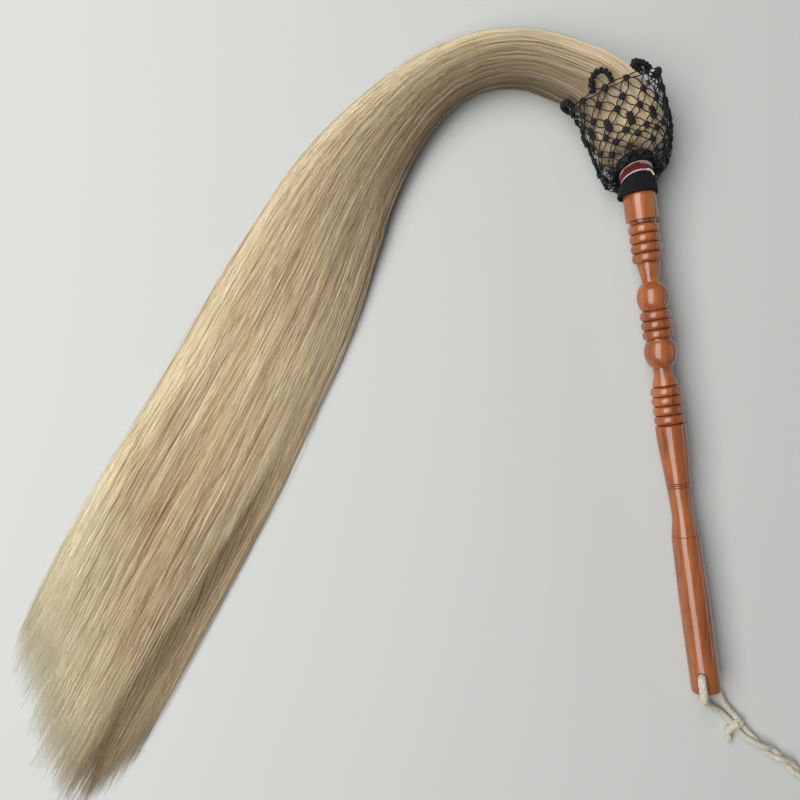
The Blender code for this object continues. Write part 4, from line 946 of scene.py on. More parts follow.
def stranded_mesh(name, centres, radii, tone, gloss):
    """A closed three-sided thread round each line of centres, with the tone and the painted shade, stored as gloss, of
    each strand.
    """
    count, stops, _ = centres.shape
    corner_shape = (count, stops, 3)
    ahead = np.gradient(centres, axis=1)
    ahead /= np.linalg.norm(ahead, axis=2)[:, :, None] + 1e-12
    side = np.cross(ahead, np.array([0.0, 0.0, 1.0]))
    side /= np.linalg.norm(side, axis=2)[:, :, None] + 1e-12
    over = np.cross(side, ahead)
    turns = np.arange(3) * math.tau / 3.0 + math.pi / 2.0
    ring = side[:, :, None, :] * np.cos(turns)[:, None] + over[:, :, None, :] * np.sin(turns)[:, None]
    corners = centres[:, :, None, :] + ring * radii[:, :, None, None]
    index = np.arange(count * stops * 3).reshape(corner_shape)
    after = np.roll(index, -1, axis=2)
    walls = np.stack([index[:, :-1], index[:, 1:], after[:, 1:], after[:, :-1]], axis=-1).reshape(-1, 4)
    starts, ends = index[:, 0, :], index[:, -1, ::-1]
    mesh = bpy.data.meshes.new(name)
    mesh.vertices.add(count * stops * 3)
    mesh.vertices.foreach_set("co", corners.ravel())
    loops = np.concatenate([walls.ravel(), starts.ravel(), ends.ravel()])
    sizes = np.concatenate([np.full(len(walls), 4), np.full(2 * count, 3)])
    mesh.loops.add(len(loops))
    mesh.loops.foreach_set("vertex_index", loops)
    mesh.polygons.add(len(sizes))
    mesh.polygons.foreach_set("loop_start", np.concatenate([[0], np.cumsum(sizes)[:-1]]))
    mesh.update(calc_edges=True)
    mark_hair(mesh, *(np.broadcast_to(values[:, :, None], corner_shape) for values in (tone, gloss)))
    mesh.polygons.foreach_set("use_smooth", sizes == 4)
    return place_object(name, mesh)


def horsehair_material():
    """Blond hair: each strand's own tone from brown to pale, darkened by painted shade over the arch and on the inner
    side, with a soft gloss.
    """
    made, shader, nodes, links = new_material("horsehair", HAIR_BLOND, 0.46)
    shader.inputs["Specular IOR Level"].default_value = 0.42
    shader.inputs["Subsurface Weight"].default_value = 0.35
    shader.inputs["Subsurface Radius"].default_value = (1.0, 0.8, 0.5)
    shader.inputs["Subsurface Scale"].default_value = 0.4 * MM
    blonds = ramp_node(nodes, (0.08, HAIR_BROWN), (0.92, HAIR_PALE), (0.5, HAIR_BLOND))
    # The gloss attribute carries painted shade: it picks a darker colour that multiplies the blond.
    painted_shades = ramp_node(nodes, (0.0, HAIR_DEEPEST_PAINTED_SHADE), (0.76, (1.0, 1.0, 1.0)), (0.5, HAIR_PAINTED_SHADE_TINT))
    both = nodes.new("ShaderNodeMix")
    both.data_type = "RGBA"
    both.blend_type = "MULTIPLY"
    both.inputs["Factor"].default_value = 1.0
    for label, ramp, taken in (("tone", blonds, "A"), ("gloss", painted_shades, "B")):
        stored = nodes.new("ShaderNodeAttribute")
        stored.attribute_name = label
        links.new(stored.outputs["Fac"], ramp.inputs["Fac"])
        links.new(ramp.outputs["Color"], both.inputs[taken])
    links.new(both.outputs["Result"], shader.inputs["Base Color"])
    return made


horsehair = horsehair_material()
rng = np.random.default_rng(11)
foot_across = np.sin(rng.uniform(-math.pi / 2.0, math.pi / 2.0, STRANDS)) * ROUND_FOOT
foot_across = np.where(rng.random(STRANDS) < 0.5, foot_across, rng.uniform(-EVEN_FOOT, EVEN_FOOT, STRANDS))
outward = np.minimum(np.abs(rng.normal(0.0, EDGE_SPREAD, LOOSE_OUTSIDE)), EDGE_LIMIT)
foot_across[:LOOSE_OUTSIDE] = EDGE_PLACE + outward
foot_across[-LOOSE_INSIDE:] = -EDGE_PLACE - np.abs(rng.normal(0.0, EDGE_SPREAD, LOOSE_INSIDE))
layer = rng.random(STRANDS)
on_top = 1.0 - TOP_LAYER * rng.random(STRANDS) ** 1.6
foot_level = np.where(layer < TOP_STRANDS, on_top, rng.uniform(*INNER_LAYERS, STRANDS))
foot_level = np.where(layer > 1.0 - UNDER_STRANDS, UNDER_LAYER * rng.random(STRANDS), foot_level)
drift = rng.normal(0.0, DRIFT, STRANDS)
drift = drift + np.where(rng.random(STRANDS) < WANDERERS, rng.normal(0.0, WANDER, STRANDS), 0.0)
strand_end = read_table(HAIR_ENDS, np.clip(foot_across + DRIFT_AT_END * drift, -1.0, 1.05))
shorter = SHORTER_BY * rng.random(STRANDS) ** 1.2
strand_end -= shorter + np.where(rng.random(STRANDS) < SHORT_STRANDS, MUCH_SHORTER_BY * rng.random(STRANDS), 0.0)
lock_places = np.sort(rng.uniform(-1.0, 1.0, LOCKS))
lock_of = np.argmin(np.abs(foot_across[:, None] - lock_places[None, :]), axis=1)
strand_end -= rng.normal(0.0, LOCK_ENDS, LOCKS)[lock_of]
lock_wave, lock_phase = rng.uniform(*LOCK_WAVES, LOCKS), rng.uniform(0.0, math.tau, LOCKS)
strand_wave, strand_phase = rng.uniform(*STRAND_WAVES, STRANDS), rng.uniform(0.0, math.tau, STRANDS)
lift_wave, lift_phase = rng.uniform(*LIFT_WAVES, STRANDS), rng.uniform(0.0, math.tau, STRANDS)
stray = np.where(rng.random(STRANDS) < STRAY_STRANDS, STRAY, 1.0)
flyaways = rng.choice(STRANDS, FLYAWAYS, replace=False)
stray[flyaways] = rng.uniform(*FLYAWAY, FLYAWAYS)
tip_turn = rng.normal(0.0, TIP_TURN, STRANDS)
strand_tone = rng.normal(0.0, STRAND_TONES, STRANDS)
lock_tone = rng.normal(0.0, LOCK_TONES, LOCKS)[lock_of]
strand_radius = STRAND_RADIUS * rng.uniform(*STRAND_SIZES, STRANDS)
strand_radius[:LOOSE_OUTSIDE] *= LOOSE_THINNER
strand_radius[-LOOSE_INSIDE:] *= LOOSE_THINNER
strand_radius[flyaways] *= FLYAWAY_THINNER


def wave_along(stops, lengths, phases):
    return np.sin(stops / lengths[:, None] * math.tau + phases[:, None])


def lay_strands(stops, chosen, seam_stop):
    """Where the chosen strands are at their stops, with their radius, their tone with its painted light and shade, and
    their painted shade. They end thin at the seam.
    """
    lock = lock_of[chosen]
    end, straying = strand_end[chosen][:, None], stray[chosen][:, None]
    far = ease((stops - LOOSENS_FROM) / LOOSENS_OVER)
    gather = TIP_GATHER * ease((stops - end + TIP_GATHER_OVER) / TIP_GATHER_OVER)
    foot = foot_across[chosen][:, None]
    across = foot + drift[chosen][:, None] * far * stops / DRIFT_OVER
    across = across + (lock_places[lock][:, None] - foot) * gather
    half_width = np.interp(stops, SIZE_RUNS, HALF_WIDTHS)
    swing = wave_along(stops, lock_wave[lock], lock_phase[lock])
    sway = wave_along(stops, strand_wave[chosen], strand_phase[chosen])
    rise = wave_along(stops, lift_wave[chosen], lift_phase[chosen])
    tip = np.clip((stops - end + TIP_TURN_OVER) / TIP_TURN_OVER, 0.0, 1.0)
    flat = ease((stops - end + TIP_LEVEL_OVER) / TIP_LEVEL_OVER)
    offset = swing * (LOCK_SWING[0] + LOCK_SWING[1] * ease((stops - SWINGS_FROM) / SWINGS_OVER)) * far
    offset = offset + sway * (STRAND_SWAY[0] + STRAND_SWAY[1] * far) * straying + tip_turn[chosen][:, None] * tip * tip
    across = across + offset / half_width
    limit = np.maximum(1.0, np.abs(foot)) + FLYAWAY_REACH * (straying > FLIES_FROM)
    across = np.clip(across, -limit, limit)
    short = parting_depth(stops, across)
    lift = rise * (STRAND_RISE[0] + STRAND_RISE[1] * far) * straying - PARTING_RELIEF * short
    level = foot_level[chosen][:, None] * (1.0 - TIP_LEVEL * flat)
    centres = hair_places(stops, across, level, lift)
    thin = TIP_THIN * np.clip((stops - end + TIP_THIN_OVER) / TIP_THIN_OVER, 0.0, 1.0)
    radii = strand_radius[chosen][:, None] * MM * (1.0 - thin)
    radii[:, seam_stop] *= SEAM_THIN
    depth, _ = valley_depth(stops, across)
    tone = MIDDLE_TONE + strand_tone[chosen][:, None] + lock_tone[chosen][:, None]
    # Painted shade: the tone is darker in valleys and partings and on strands that lie deep in the bundle.
    tone = tone + PATCH_TONE * streaks(stops, across) + VALLEY_PAINTED_SHADE * depth
    tone = tone + DEEP_PAINTED_SHADE * (1.0 - foot_level[chosen][:, None]) + PARTING_PAINTED_SHADE * short
    # Painted light: the tone is paler on the outer side and at the tips.
    tone = tone + OUTER_PAINTED_LIGHT * ease((across - 0.35) / 0.6) + TIP_PAINTED_LIGHT * flat * ease((across + 0.6) / 0.5)
    return centres, radii, tone, hair_painted_shade(stops, across)


def hair_painted_shade(run, across):
    """Painted shade on the hair: 1 where it is left bright, 0.5 with painted shade on its inner side, and less with
    painted shade over the top of the arch and on the flat lock.
    """
    arch_shade = ease((run - ARCH_SHADE_FROM) / ARCH_SHADE_OVER) * (1.0 - ease((run - ARCH_SHADE_FADES_FROM) / ARCH_SHADE_FADES_OVER))
    arch_shade = arch_shade * (0.25 + 0.75 * ease((0.8 - across) / 0.9))
    shaded = 1.0 - ease((across + 1.0) / 1.1)
    return BRIGHT - INNER_PAINTED_SHADE * shaded - ARCH_PAINTED_SHADE * arch_shade - LOCK_PAINTED_SHADE * lock_flatness(run, across)


def stops_of(first, last, count):
    """Stops along each strand, closer together where the bundle still bends."""
    share = np.linspace(0.0, 1.0, count)[None, :]
    return first + (last[:, None] - first) * (0.4 * share**2 + 0.6 * share)


def hang_hair(piece, bodies, bend, *nodes):
    """Gives a length of hair its finish in place of its CAD nodes."""
    finish_piece(piece, piece.name, horsehair, "horsehair", None, *nodes)
    start, end = hair_places(np.array(bend), np.zeros(2), np.full(2, 0.5))
    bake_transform(piece)


UPPER = (("whisk", "hair_upper"), UPPER_BEND, "hair_root", "hair_neck", "hair_arch")
LOWER = (("hair_upper", "hair_lower"), LOWER_BEND, "hair_bend", "hair_fan")
quarters = np.array_split(np.argsort(foot_across), 4)
for part, chosen in enumerate(quarters, start=1):
    stops = np.tile(UPPER_STOPS, (len(chosen), 1))
    hang_hair(stranded_mesh(f"hair_arch_strands_{part}", *lay_strands(stops, chosen, -1)), *UPPER)
for part, chosen in enumerate(quarters, start=1):
    near = np.tile((SEAM - SEAM_TAPER, SEAM), (len(chosen), 1))
    stops = np.concatenate([near, stops_of(SEAM + SEAM_TAPER, strand_end[chosen], LOWER_STOPS)], axis=1)
    hang_hair(stranded_mesh(f"hair_tail_strands_{part}", *lay_strands(stops, chosen, 0)), *LOWER)


# Under the strands lies the rest of the bundle's hair, packed too close for its strands to show apart. It fills
# the bundle, stays under its surface and thins out well short of the tips.
MASS_COLUMNS = 40
MASS_WIDTH = 0.955
MASS_TOP, MASS_BOTTOM = 0.86, 0.08
MASS_THIN, MASS_THIN_OVER = 0.75, 120.0
MASS_RIDGES = 0.02
# Painted shade: the mass is painted darker than the strands, and darker still in the valleys.
MASS_PAINTED_SHADE_TONE, MASS_PATCH_TONE, MASS_VALLEY_PAINTED_SHADE = 0.34, 0.05, 0.3
MASS_SHORT = 165.0
MASS_STEP = 9.0
MASS_OVERLAP = 12.0
MASS_END_DRAWN_IN = 0.93
MASS_FARTHEST = 600.0


def lay_mass(name, first, last, bodies, bend, *nodes):
    """A closed length of packed hair, whose corners lie on the same lines as the strands."""
    rows = int((last - first) / MASS_STEP) + 1
    turns = np.arange(MASS_COLUMNS) * math.tau / MASS_COLUMNS
    across = np.cos(turns)[None, :] * MASS_WIDTH
    end = read_table(HAIR_ENDS, across) - MASS_SHORT
    share = np.linspace(0.0, 1.0, rows)[:, None]
    run = first + (np.minimum(end, last) - first) * share
    thin = 1.0 - MASS_THIN * ease((run - end + MASS_THIN_OVER) / MASS_THIN_OVER)
    level = np.where(np.sin(turns)[None, :] > 0.0, 0.5 + (MASS_TOP - 0.5) * thin, MASS_BOTTOM)
    level = level * (1.0 - MASS_RIDGES * (np.arange(MASS_COLUMNS) % 2))[None, :]
    drawn_in = np.ones((rows, 1))
    drawn_in[[0, -1]] = MASS_END_DRAWN_IN
    across = across * drawn_in
    level = 0.5 + (level - 0.5) * drawn_in
    places = hair_places(run, across, level)
    index = np.arange(rows * MASS_COLUMNS).reshape(rows, MASS_COLUMNS)
    after = np.roll(index, -1, axis=1)
    walls = np.stack([index[:-1], after[:-1], after[1:], index[1:]], axis=-1).reshape(-1, 4)
    mesh = bpy.data.meshes.new(name)
    faces = walls.tolist() + [index[0].tolist()[::-1], index[-1].tolist()]
    mesh.from_pydata(places.reshape(-1, 3).tolist(), [], faces)
    depth, _ = valley_depth(run, across)
    tone = MASS_PAINTED_SHADE_TONE + MASS_PATCH_TONE * streaks(run, across) - MASS_VALLEY_PAINTED_SHADE * depth
    mark_hair(mesh, tone, hair_painted_shade(run, across))
    piece = place_object(name, mesh)
    face_outward(piece)
    piece.data.shade_smooth()
    hang_hair(piece, bodies, bend, *nodes)


lay_mass("hair_arch_mass", UPPER_STOPS[0], SEAM + MASS_OVERLAP, *UPPER)
lay_mass("hair_tail_mass", SEAM - MASS_OVERLAP, MASS_FARTHEST, *LOWER)


# The net: a bag of black knotted thread over the root of the hair, drawn in and tied at its foot. Diamonds of
# paired threads meet in small hard knots, one row of knots is drawn out, and six thick worked loops edge the rim.
GATHER_FROM = 17.2
GATHER_RADIUS = 11.2
GATHER_OUTLINE = (
    (4.6, BAND_RADIUS), (4.7, 12.0), (3.8, 12.8), (2.6, 12.6), (1.2, 12.0), (0.0, 11.7), (-0.9, 11.3),
    (-1.1, BAND_RADIUS),
)
GATHER_PLEATS = 34
GATHER_PLEAT = 0.5
CUP_BEND_FROM = 18.0
CUP_BEND = math.radians(13.0)
CUP_CROWN = 0.9
CUP_BODY = (
    (18.4, 11.9), (15.4, 14.6), (13.4, 17.6), (14.6, 20.8), (19.0, 23.4), (27.0, 25.8), (35.0, 27.4), (44.0, 28.2),
    (59.0, 29.0), (71.0, 29.9),
)
CUP_HEIGHT, CUP_RIM_RADIUS = CUP_BODY[-1]
CUP_SLANT_TURN = math.radians(20.0)
NET_COLUMNS = 12
NET_ROWS = (0.0, 0.09, 0.19, 0.29, 0.395, 0.505, 0.62, 0.745, 0.87, 1.0)
NET_TWIST = math.radians(-15.0)
NET_CLEARANCE = 2.8
NET_REST = 0.9
DRAWN_ROW = 6
DRAWN_REACH = 2.3
LINK_THREAD = 0.39 * MM
LINK_POINTS = 9
LINK_BOW, FOOT_BOW, RIM_BOW = 0.21, 0.08, 0.10
LINK_CROSSING = 0.25 * MM
LINK_REST = 0.5 * MM
KNOT_THREAD = 0.80 * MM
KNOT_SIZE = 1.3
KNOT_POINTS = 17
LOOPS = 6
LOOP_TURN = math.radians(-32.0)
LOOP_RISE = (9.0, 5.2, 0.6, 4.0, 5.5, 5.0)
LOOP_HALF_ANGLE = (13.0, 7.5, 12.0, 12.0, 12.0, 11.0)
LOOP_LEAN = (4.0, -17.0, 0.0, 0.0, 0.0, 3.0)
LOOP_FLARE = 4.5
LOOP_ABOVE_RIM = 1.2
LOOP_CLEARANCE, LOOP_REST = 1.9, 1.7
LOOP_CORE = 0.9 * MM
LOOP_STITCHES = 26
STITCH_THREAD = 0.62 * MM
STITCH_RADIUS = 1.5
STITCH_WAVER, STITCH_SIZES = 0.22, (0.85, 0.3)
STITCH_POINTS = 9
FOOT_THREADS = 110
FOOT_THREAD = 0.42 * MM
FOOT_POINTS = 9
FOOT_REACH, FOOT_PROUD = (0.45, 1.25), 0.9
FOOT_DRAWN, FOOT_WAVER = 0.8, 0.12


def cup_axis(height):
    """The cup's axis at a height: its middle, the way it runs and its right side. It bends to the left."""
    straight = min(height, CUP_BEND_FROM)
    inside = min(height, CUP_HEIGHT)
    turned = (inside - straight) / (CUP_HEIGHT - CUP_BEND_FROM) * CUP_BEND
    radius = (CUP_HEIGHT - CUP_BEND_FROM) / CUP_BEND
    beyond = height - inside
    along = straight + radius * math.sin(turned) + beyond * math.cos(turned)
    aside = radius * (1.0 - math.cos(turned)) + beyond * math.sin(turned)
    ahead = HEAD * math.cos(turned) - RIGHT * math.sin(turned)
    side = RIGHT * math.cos(turned) + HEAD * math.sin(turned)
    return SHOULDER + (HEAD * along - RIGHT * aside) * MM, ahead, side


def cup_point(height, radius, angle, clearance=NET_CLEARANCE, rest=NET_REST):
    """A place on the net, kept clear of the hair inside it and of the table."""
    centre, ahead, side = cup_axis(height)
    grown = float(ease((radius - GATHER_RADIUS) / GATHER_RADIUS))
    crown = 1.0 - (1.0 - CUP_CROWN) * grown
    push = float(slant_at(height, radius)) * math.cos(angle - CUP_SLANT_TURN * grown)
    place = centre + (ahead * push + side * (radius * math.sin(angle)) + UP * (radius * crown * math.cos(angle))) * MM
    place = clear_of_hair(place, clearance)
    place.z = max(place.z, rest * MM)
    return place


def clear_of_hair(place, clearance):
    """Moves a place outwards until it is this far from the hair."""
    nearest = int(np.argmin(np.hypot(LINE_PLACES[:, 0] - place.x / MM, LINE_PLACES[:, 1] - place.y / MM)))
    run = float(LINE_RUNS[nearest])
    if run < CUP_BODY[0][0]:
        return place
    middle, _, side, half_width, half_height, _ = bundle_frame(np.array([run]))
    middle, side = Vector(middle[0]) * MM, Vector((*side[0], 0.0))
    across, rise = (place - middle).dot(side), place.z - middle.z
    share = math.hypot(across / ((half_width[0] + clearance) * MM), rise / ((half_height[0] + clearance) * MM))
    if share >= 1.0:
        return place
    return place + side * (across / share - across) + Vector((0.0, 0.0, rise / share - rise))


cup_reach = runs_along(CUP_BODY)
cup_reach /= cup_reach[-1]


def cup_size(share):
    """The cup's height and radius at a share of the way from its foot to its rim."""
    return [float(np.interp(share, cup_reach, column)) for column in zip(*CUP_BODY)]


def net_point(share, turn, proud=0.0):
    """A place on the net: its share of the way from foot to rim, and its turn in columns from the top."""
    height, radius = cup_size(share)
    return cup_point(height, radius + proud, NET_TWIST * share + math.tau * turn / NET_COLUMNS)


def same_side(turn, other):
    """A turn, counted so that it lies within half the net of the other."""
    return turn + NET_COLUMNS * round((other - turn) / NET_COLUMNS)


def cup_middle(share):
    return cup_axis(cup_size(share)[0])[0]


def knot_places():
    """The knots' rows, from the foot to the rim, as shares and turns. The net's pull shifts each a little."""
    draw = np.random.default_rng(17)
    rows = []
    for row, share in enumerate(NET_ROWS):
        pulls = draw.normal(0.0, 1.0, (NET_COLUMNS, 2)) * ((0.0, 0.0) if row == 0 else (0.010, 0.045))
        rows.append([(share + pull[0], column + 0.5 * (row % 2) + pull[1]) for column, pull in enumerate(pulls)])
    return rows


def link_threads(start, end, bow):
    """Two threads from one knot to the next, bowed apart along the net."""
    threads = []
    end = (end[0], same_side(end[1], start[1]))
    first, last = net_point(*start), net_point(*end)
    for offset in (-1.0, 1.0):
        thread = []
        for share in np.linspace(0.0, 1.0, LINK_POINTS):
            here = Vector(start).lerp(Vector(end), share)
            place = net_point(here.x, here.y)
            outward = (place - cup_middle(here.x)).normalized()
            aside = (last - first).cross(outward).normalized()
            swell = math.sin(math.pi * share) ** 0.75 * bow * (last - first).length * offset
            place = place + aside * swell + outward * (LINK_CROSSING * offset * math.cos(math.pi * share))
            place.z = max(place.z, LINK_REST)
            thread.append(place)
        threads.append(thread)
    return threads


def tie_knot(place, outward, along, size, stretch, turn):
    """One hard knot: a closed thread that passes round itself three times, drawn out along the net."""
    across = outward.cross(along).normalized()
    along = across.cross(outward).normalized()
    route = []
    for at in range(KNOT_POINTS):
        way = math.tau * at / KNOT_POINTS
        wide = 1.0 + 0.5 * math.cos(3.0 * way + turn)
        x, y, rise = wide * math.cos(2.0 * way), wide * math.sin(2.0 * way), 0.55 * math.sin(3.0 * way + turn)
        route.append(place + (along * (x * stretch) + across * y + outward * rise) * (size * MM))
    return route


def stitch_ring(middle, ahead, outward, radius, turn):
    """One worked stitch of a loop: a small closed ring of thread round the loop's line."""
    across = ahead.cross(outward).normalized()
    outward = across.cross(ahead).normalized()
    ring = []
    for at in range(STITCH_POINTS):
        way = math.tau * at / STITCH_POINTS
        reach = radius * (1.0 + 0.16 * math.cos(2.0 * way + turn))
        lean = 0.55 * math.sin(way + turn)
        ring.append(middle + (across * (reach * math.cos(way)) + outward * (reach * math.sin(way)) + ahead * lean) * MM)
    return ring


def hang_net(piece, node):
    finish_piece(piece, piece.name, black_silk, "black_thread", "whisk", node)


black_silk = thread_material(
    "black_thread", (0.003, 0.003, 0.004), (0.017, 0.018, 0.022), 2600.0, 800.0, 0.14 * MM, 0.02, 0.3, 0.6
)
rows = knot_places()
links, knots = [], []
for row in range(len(rows) - 1):
    for column in range(NET_COLUMNS):
        for step in ((0, -1) if row % 2 == 0 else (0, 1)):
            above = rows[row + 1][(column + step) % NET_COLUMNS]
            links += link_threads(rows[row][column], above, LINK_BOW if row else FOOT_BOW)
for row in range(1, len(rows)):
    for column in range(NET_COLUMNS):
        share, turn = rows[row][column]
        place = net_point(share, turn)
        outward = (place - cup_middle(share)).normalized()
        along = net_point(share + 0.02, turn) - net_point(share - 0.02, turn)
        for reach in (-DRAWN_REACH, 0.0, DRAWN_REACH) if row == DRAWN_ROW else (0.0,):
            middle = place + along.normalized() * (reach * MM)
            knots.append(tie_knot(middle, outward, along, KNOT_SIZE, 1.0, 2.4 * column + row + reach))
            knots.append(tie_knot(middle, outward, along.cross(outward), 0.8 * KNOT_SIZE, 1.2, 1.1 * column))
for column, knot in enumerate(rows[-1]):
    links += link_threads(knot, rows[-1][(column + 1) % NET_COLUMNS], RIM_BOW)
hang_net(lay_threads("net_links", links, LINK_THREAD), "net_cup")
hang_net(lay_threads("net_knots", knots, KNOT_THREAD, resolution=0, closed=True), "net_cup")

# The foot of the net: its threads gathered into close pleats under a few tight turns, and fanning out above.
gather_outline = [(GATHER_FROM + height, radius) for height, radius in GATHER_OUTLINE]
pleats = turn_outline("net_gathers", gather_outline, 4 * GATHER_PLEATS, closed=True)
for vertex in pleats.data.vertices:
    _, outward = off_axis(vertex.co)
    angle = angle_from_top(outward)
    uneven = noise.noise(Vector((5.0 * math.cos(angle), 5.0 * math.sin(angle), 0.0)))
    vertex.co += outward.normalized() * (GATHER_PLEAT * (math.sin(GATHER_PLEATS * angle) + 0.6 * uneven) * MM)
slant_piece(pleats)
pleats.data.shade_smooth()
hang_net(pleats, "net_neck_band")

draw = np.random.default_rng(23)
foot_threads = []
for at in range(FOOT_THREADS):
    turn = NET_COLUMNS * (at + draw.uniform(-0.4, 0.4)) / FOOT_THREADS
    knot_share, knot_turn = rows[1][int(turn - 0.5) % NET_COLUMNS]
    reach = draw.uniform(*FOOT_REACH)
    proud = draw.uniform(0.0, FOOT_PROUD)
    thread = []
    for share in np.linspace(0.0, 1.0, FOOT_POINTS):
        drawn = turn + (same_side(knot_turn, turn) - turn) * FOOT_DRAWN * ease(share)
        drawn += FOOT_WAVER * math.sin(5.0 * share + at)
        thread.append(net_point(share * knot_share * reach, drawn, proud * math.sin(math.pi * share)))
    foot_threads.append(thread)
hang_net(lay_threads("net_foot_threads", foot_threads, FOOT_THREAD), "net_cup")


# The edging: six thick loops worked in close stitches along the rim. One on top stands open, its neighbour has
# folded flat against the hair, and those at the sides are seen edge-on.
def loop_line(loop):
    """The middle line of a loop, from the rim up and back to the rim."""
    middle = LOOP_TURN + math.tau * loop / LOOPS
    half = math.radians(LOOP_HALF_ANGLE[loop])
    line = []
    for swing in np.linspace(0.0, math.pi, LOOP_STITCHES):
        height = CUP_HEIGHT + LOOP_ABOVE_RIM + LOOP_RISE[loop] * math.sin(swing)
        angle = middle - half * math.cos(swing) + math.radians(LOOP_LEAN[loop]) * math.sin(swing)
        radius = CUP_RIM_RADIUS + min(LOOP_FLARE, LOOP_RISE[loop]) * math.sin(swing)
        line.append(cup_point(height, radius, angle, LOOP_CLEARANCE, LOOP_REST))
    return line


stitches, cores = [], []
for loop in range(LOOPS):
    line = loop_line(loop)
    cores.append(line)
    for at, place in enumerate(line):
        ahead = (line[min(at + 1, len(line) - 1)] - line[max(at - 1, 0)]).normalized()
        outward = (place - cup_axis(CUP_HEIGHT)[0]).normalized()
        uneven = STITCH_SIZES[0] + STITCH_SIZES[1] * draw.random()
        radius = STITCH_RADIUS * (1.0 + STITCH_WAVER * math.sin(2.3 * at + loop)) * uneven
        stitches.append(stitch_ring(place, ahead, outward, radius, 2.1 * at + loop))
hang_net(lay_threads("net_edge_stitches", stitches, STITCH_THREAD, resolution=0, closed=True), "net_edging")
hang_net(lay_threads("net_edge_cores", cores, LOOP_CORE), "net_edging")


# The wrist cord: one soft, round white cotton cord of several plies. It goes down through the hole in the butt,
# comes round under it to a knot beside it, has one short cut end there, and runs on doubled to the wrist's loop.
CORD_RADIUS = 2.3 * MM
CORD_REST = 2.5
CORD_PLIES = 6
CORD_GROOVE = 0.13
CORD_TWIST = 38.0
CORD_STEP = 1.1 * MM
CORD_SPREAD = 0.22
EYE_PRESSED_ABOVE = 0.021
LOOP_CORD_RADIUS = 2.0 * MM
CUT_END_SHARE = 1.16
CUT_END_DRAWN_IN = (1.18, 1.12, 0.95, 0.55)
EYE_ROUTE = (
    (75.2, -364.4, 3.2), (73.4, -361.5, 2.6), (69.4, -357.4, 2.5), (65.4, -351.6, 2.5), (62.4, -344.8, 2.5),
    (60.0, -338.4, 2.5), (57.9, -333.6, 2.5), (56.2, -330.2, 2.6), (54.2, -327.6, 3.2), (52.5, -326.5, 5.3),
    (51.4, -326.8, 7.6),
    (47.8, -327.4, 14.5), (44.1, -328.2, 21.5), (43.0, -328.5, 23.7), (42.2, -329.0, 25.6), (41.9, -330.8, 26.8),
    (42.2, -333.2, 27.0), (42.8, -337.0, 26.7), (43.4, -341.0, 26.4), (43.9, -343.8, 25.0), (44.7, -345.2, 21.8),
    (45.7, -346.0, 17.2), (47.4, -347.6, 12.0), (50.6, -350.6, 7.4), (55.4, -354.4, 4.4), (61.4, -358.0, 2.9),
    (66.6, -361.8, 2.5), (69.6, -364.8, 2.7), (72.2, -367.0, 3.4),
)
EYE_POINTS = 34
END_ROUTE = (
    (74.6, -366.0, 6.0), (71.6, -368.3, 5.4), (69.4, -370.9, 3.9), (68.3, -373.8, 2.8), (68.9, -376.9, 2.5),
    (70.6, -379.9, 2.5),
)
END_POINTS = 14
PAIR_ROUTE = (
    (75.8, -368.4), (78.0, -371.0), (81.0, -374.3), (87.7, -379.2), (94.7, -384.6), (105.3, -390.9), (112.3, -396.5),
    (119.3, -402.9), (129.0, -412.2), (134.5, -418.0),
)
PAIR_POINTS = 14
PAIR_SPREAD = 2.08
PAIR_HALF_TURNS = 3
BIGHT_OUTLINE = ((11.0, 5.0), (25.0, 11.0), (41.0, 16.5), (55.0, 17.5), (67.0, 13.5), (74.5, 7.0), (77.0, 0.0))
LOOP_POINTS = 44
KNOT_CENTRE = Vector((74.5, -366.9, 3.9))
KNOT_HEADING = math.radians(-50.0)
KNOT_TURNS = 1.6
KNOT_FROM_TURN = -0.9
KNOT_REACH = (2.6, 3.5, 1.9)
KNOT_SWAY = 0.8
KNOT_STRAND = 1.75 * MM
KNOT_STOPS = 34


cotton = thread_material("white_cotton", (0.48, 0.44, 0.35), (0.66, 0.62, 0.52), 1700.0, 420.0, 0.22 * MM, 0.3)


def draw_ply_profile(radius):
    """The cord's section: a round outline with a shallow groove between each two plies."""
    curve = bpy.data.curves.new("cord_section", "CURVE")
    spline = curve.splines.new("POLY")
    corners = CORD_PLIES * 4
    spline.points.add(corners - 1)
    for at, point in enumerate(spline.points):
        angle = math.tau * at / corners
        reach = radius * (1.0 - CORD_GROOVE + CORD_GROOVE * abs(math.sin(CORD_PLIES * angle / 2.0)))
        point.co = (reach * math.cos(angle), reach * math.sin(angle), 0.0, 1.0)
    spline.use_cyclic_u = True
    return place_object("cord_section", curve)


def make_cotton_cord(name, route, radius, *nodes_replaced, pressed_above=None, cut=False):
    """A soft cord of several plies along a route. It spreads where it is pressed, and a cut end is drawn in."""
    count = max(12, round(route_length(route) / CORD_STEP))
    places = smooth_route(route, count)
    shares = np.ones(count)
    if pressed_above:
        shares += CORD_SPREAD * ease((places[:, 2] - pressed_above) / CORD_RADIUS)
    if cut:
        shares *= CUT_END_SHARE
        shares[-len(CUT_END_DRAWN_IN) :] = CUT_END_DRAWN_IN
    section = draw_ply_profile(radius)
    cord = lay_threads(name, [places], radius, shares=shares, profile=section, twist=CORD_TWIST)
    bpy.data.objects.remove(section, do_unlink=True)
    face_outward(cord)
    return finish_piece(cord, name, cotton, "cotton_cord", "whisk", *nodes_replaced)


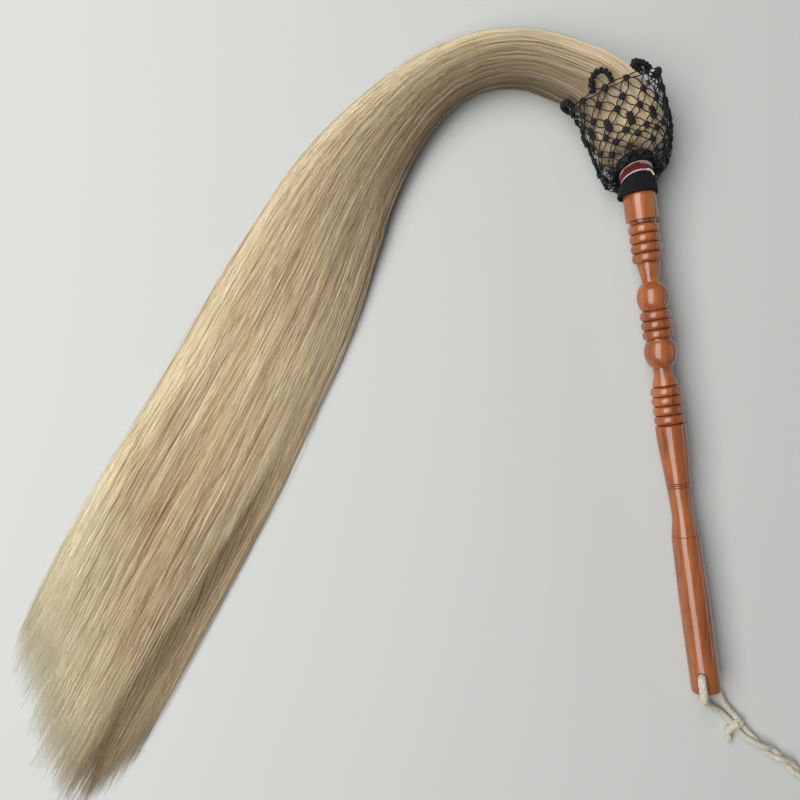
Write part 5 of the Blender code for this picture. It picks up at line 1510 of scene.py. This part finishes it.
def pair_and_bight():
    """The doubled cord's route: out along one strand, round the wrist's loop, and back along the other."""
    middle = smooth_route(PAIR_ROUTE, PAIR_POINTS)
    going, coming = [], []
    for at in range(PAIR_POINTS):
        here = Vector((*middle[at], 0.0))
        before, after = middle[max(at - 1, 0)], middle[min(at + 1, PAIR_POINTS - 1)]
        ahead = Vector((*(after - before), 0.0)).normalized()
        side = Vector((ahead.y, -ahead.x, 0.0))
        turn = math.pi * PAIR_HALF_TURNS * float(ease(at / (PAIR_POINTS - 1)))
        height = CORD_REST + PAIR_SPREAD * abs(math.sin(turn))
        offset = side * (PAIR_SPREAD * math.cos(turn)) + Vector((0.0, 0.0, PAIR_SPREAD * math.sin(turn)))
        rest = here + Vector((0.0, 0.0, height))
        going.append(rest + offset)
        coming.append(rest - offset)
    outer = side * math.cos(math.pi * PAIR_HALF_TURNS)
    foot = here + Vector((0.0, 0.0, CORD_REST))
    round_way = [foot + ahead * along + outer * half for along, half in BIGHT_OUTLINE]
    back_way = [foot + ahead * along - outer * half for along, half in BIGHT_OUTLINE[:-1]]
    return going + round_way + back_way[::-1] + coming[::-1]


def knot_route():
    """The cord drawn tight round the two strands that leave together."""
    points = []
    for share in np.linspace(0.0, 1.0, KNOT_STOPS):
        turn = math.tau * KNOT_TURNS * share + KNOT_FROM_TURN
        along = KNOT_REACH[0] * (2.0 * share - 1.0) + KNOT_SWAY * math.sin(0.5 * turn)
        points.append(Vector((along, KNOT_REACH[1] * math.sin(turn), KNOT_REACH[2] * math.cos(turn))))
    turned = Matrix.Translation(KNOT_CENTRE) @ Matrix.Rotation(KNOT_HEADING, 4, "Z")
    return [from_shoulder(*(turned @ point)) for point in points]


eye_route = [from_shoulder(*point) for point in smooth_route(EYE_ROUTE, EYE_POINTS)]
loop_route = [from_shoulder(*point) for point in smooth_route(pair_and_bight(), LOOP_POINTS)]
end_route = [from_shoulder(*point) for point in smooth_route(END_ROUTE, END_POINTS)]
butt_cord = make_cotton_cord("butt_cord", eye_route, CORD_RADIUS, "cord_eye", pressed_above=EYE_PRESSED_ABOVE)
wrist_loop = make_cotton_cord("wrist_cord_loop", loop_route, LOOP_CORD_RADIUS, "wrist_loop")
cut_end = make_cotton_cord("cord_cut_end", end_route, CORD_RADIUS, "cord_tail", cut=True)
knot_turns = make_cotton_cord("cord_knot_turns", knot_route(), KNOT_STRAND, "cord_knot")
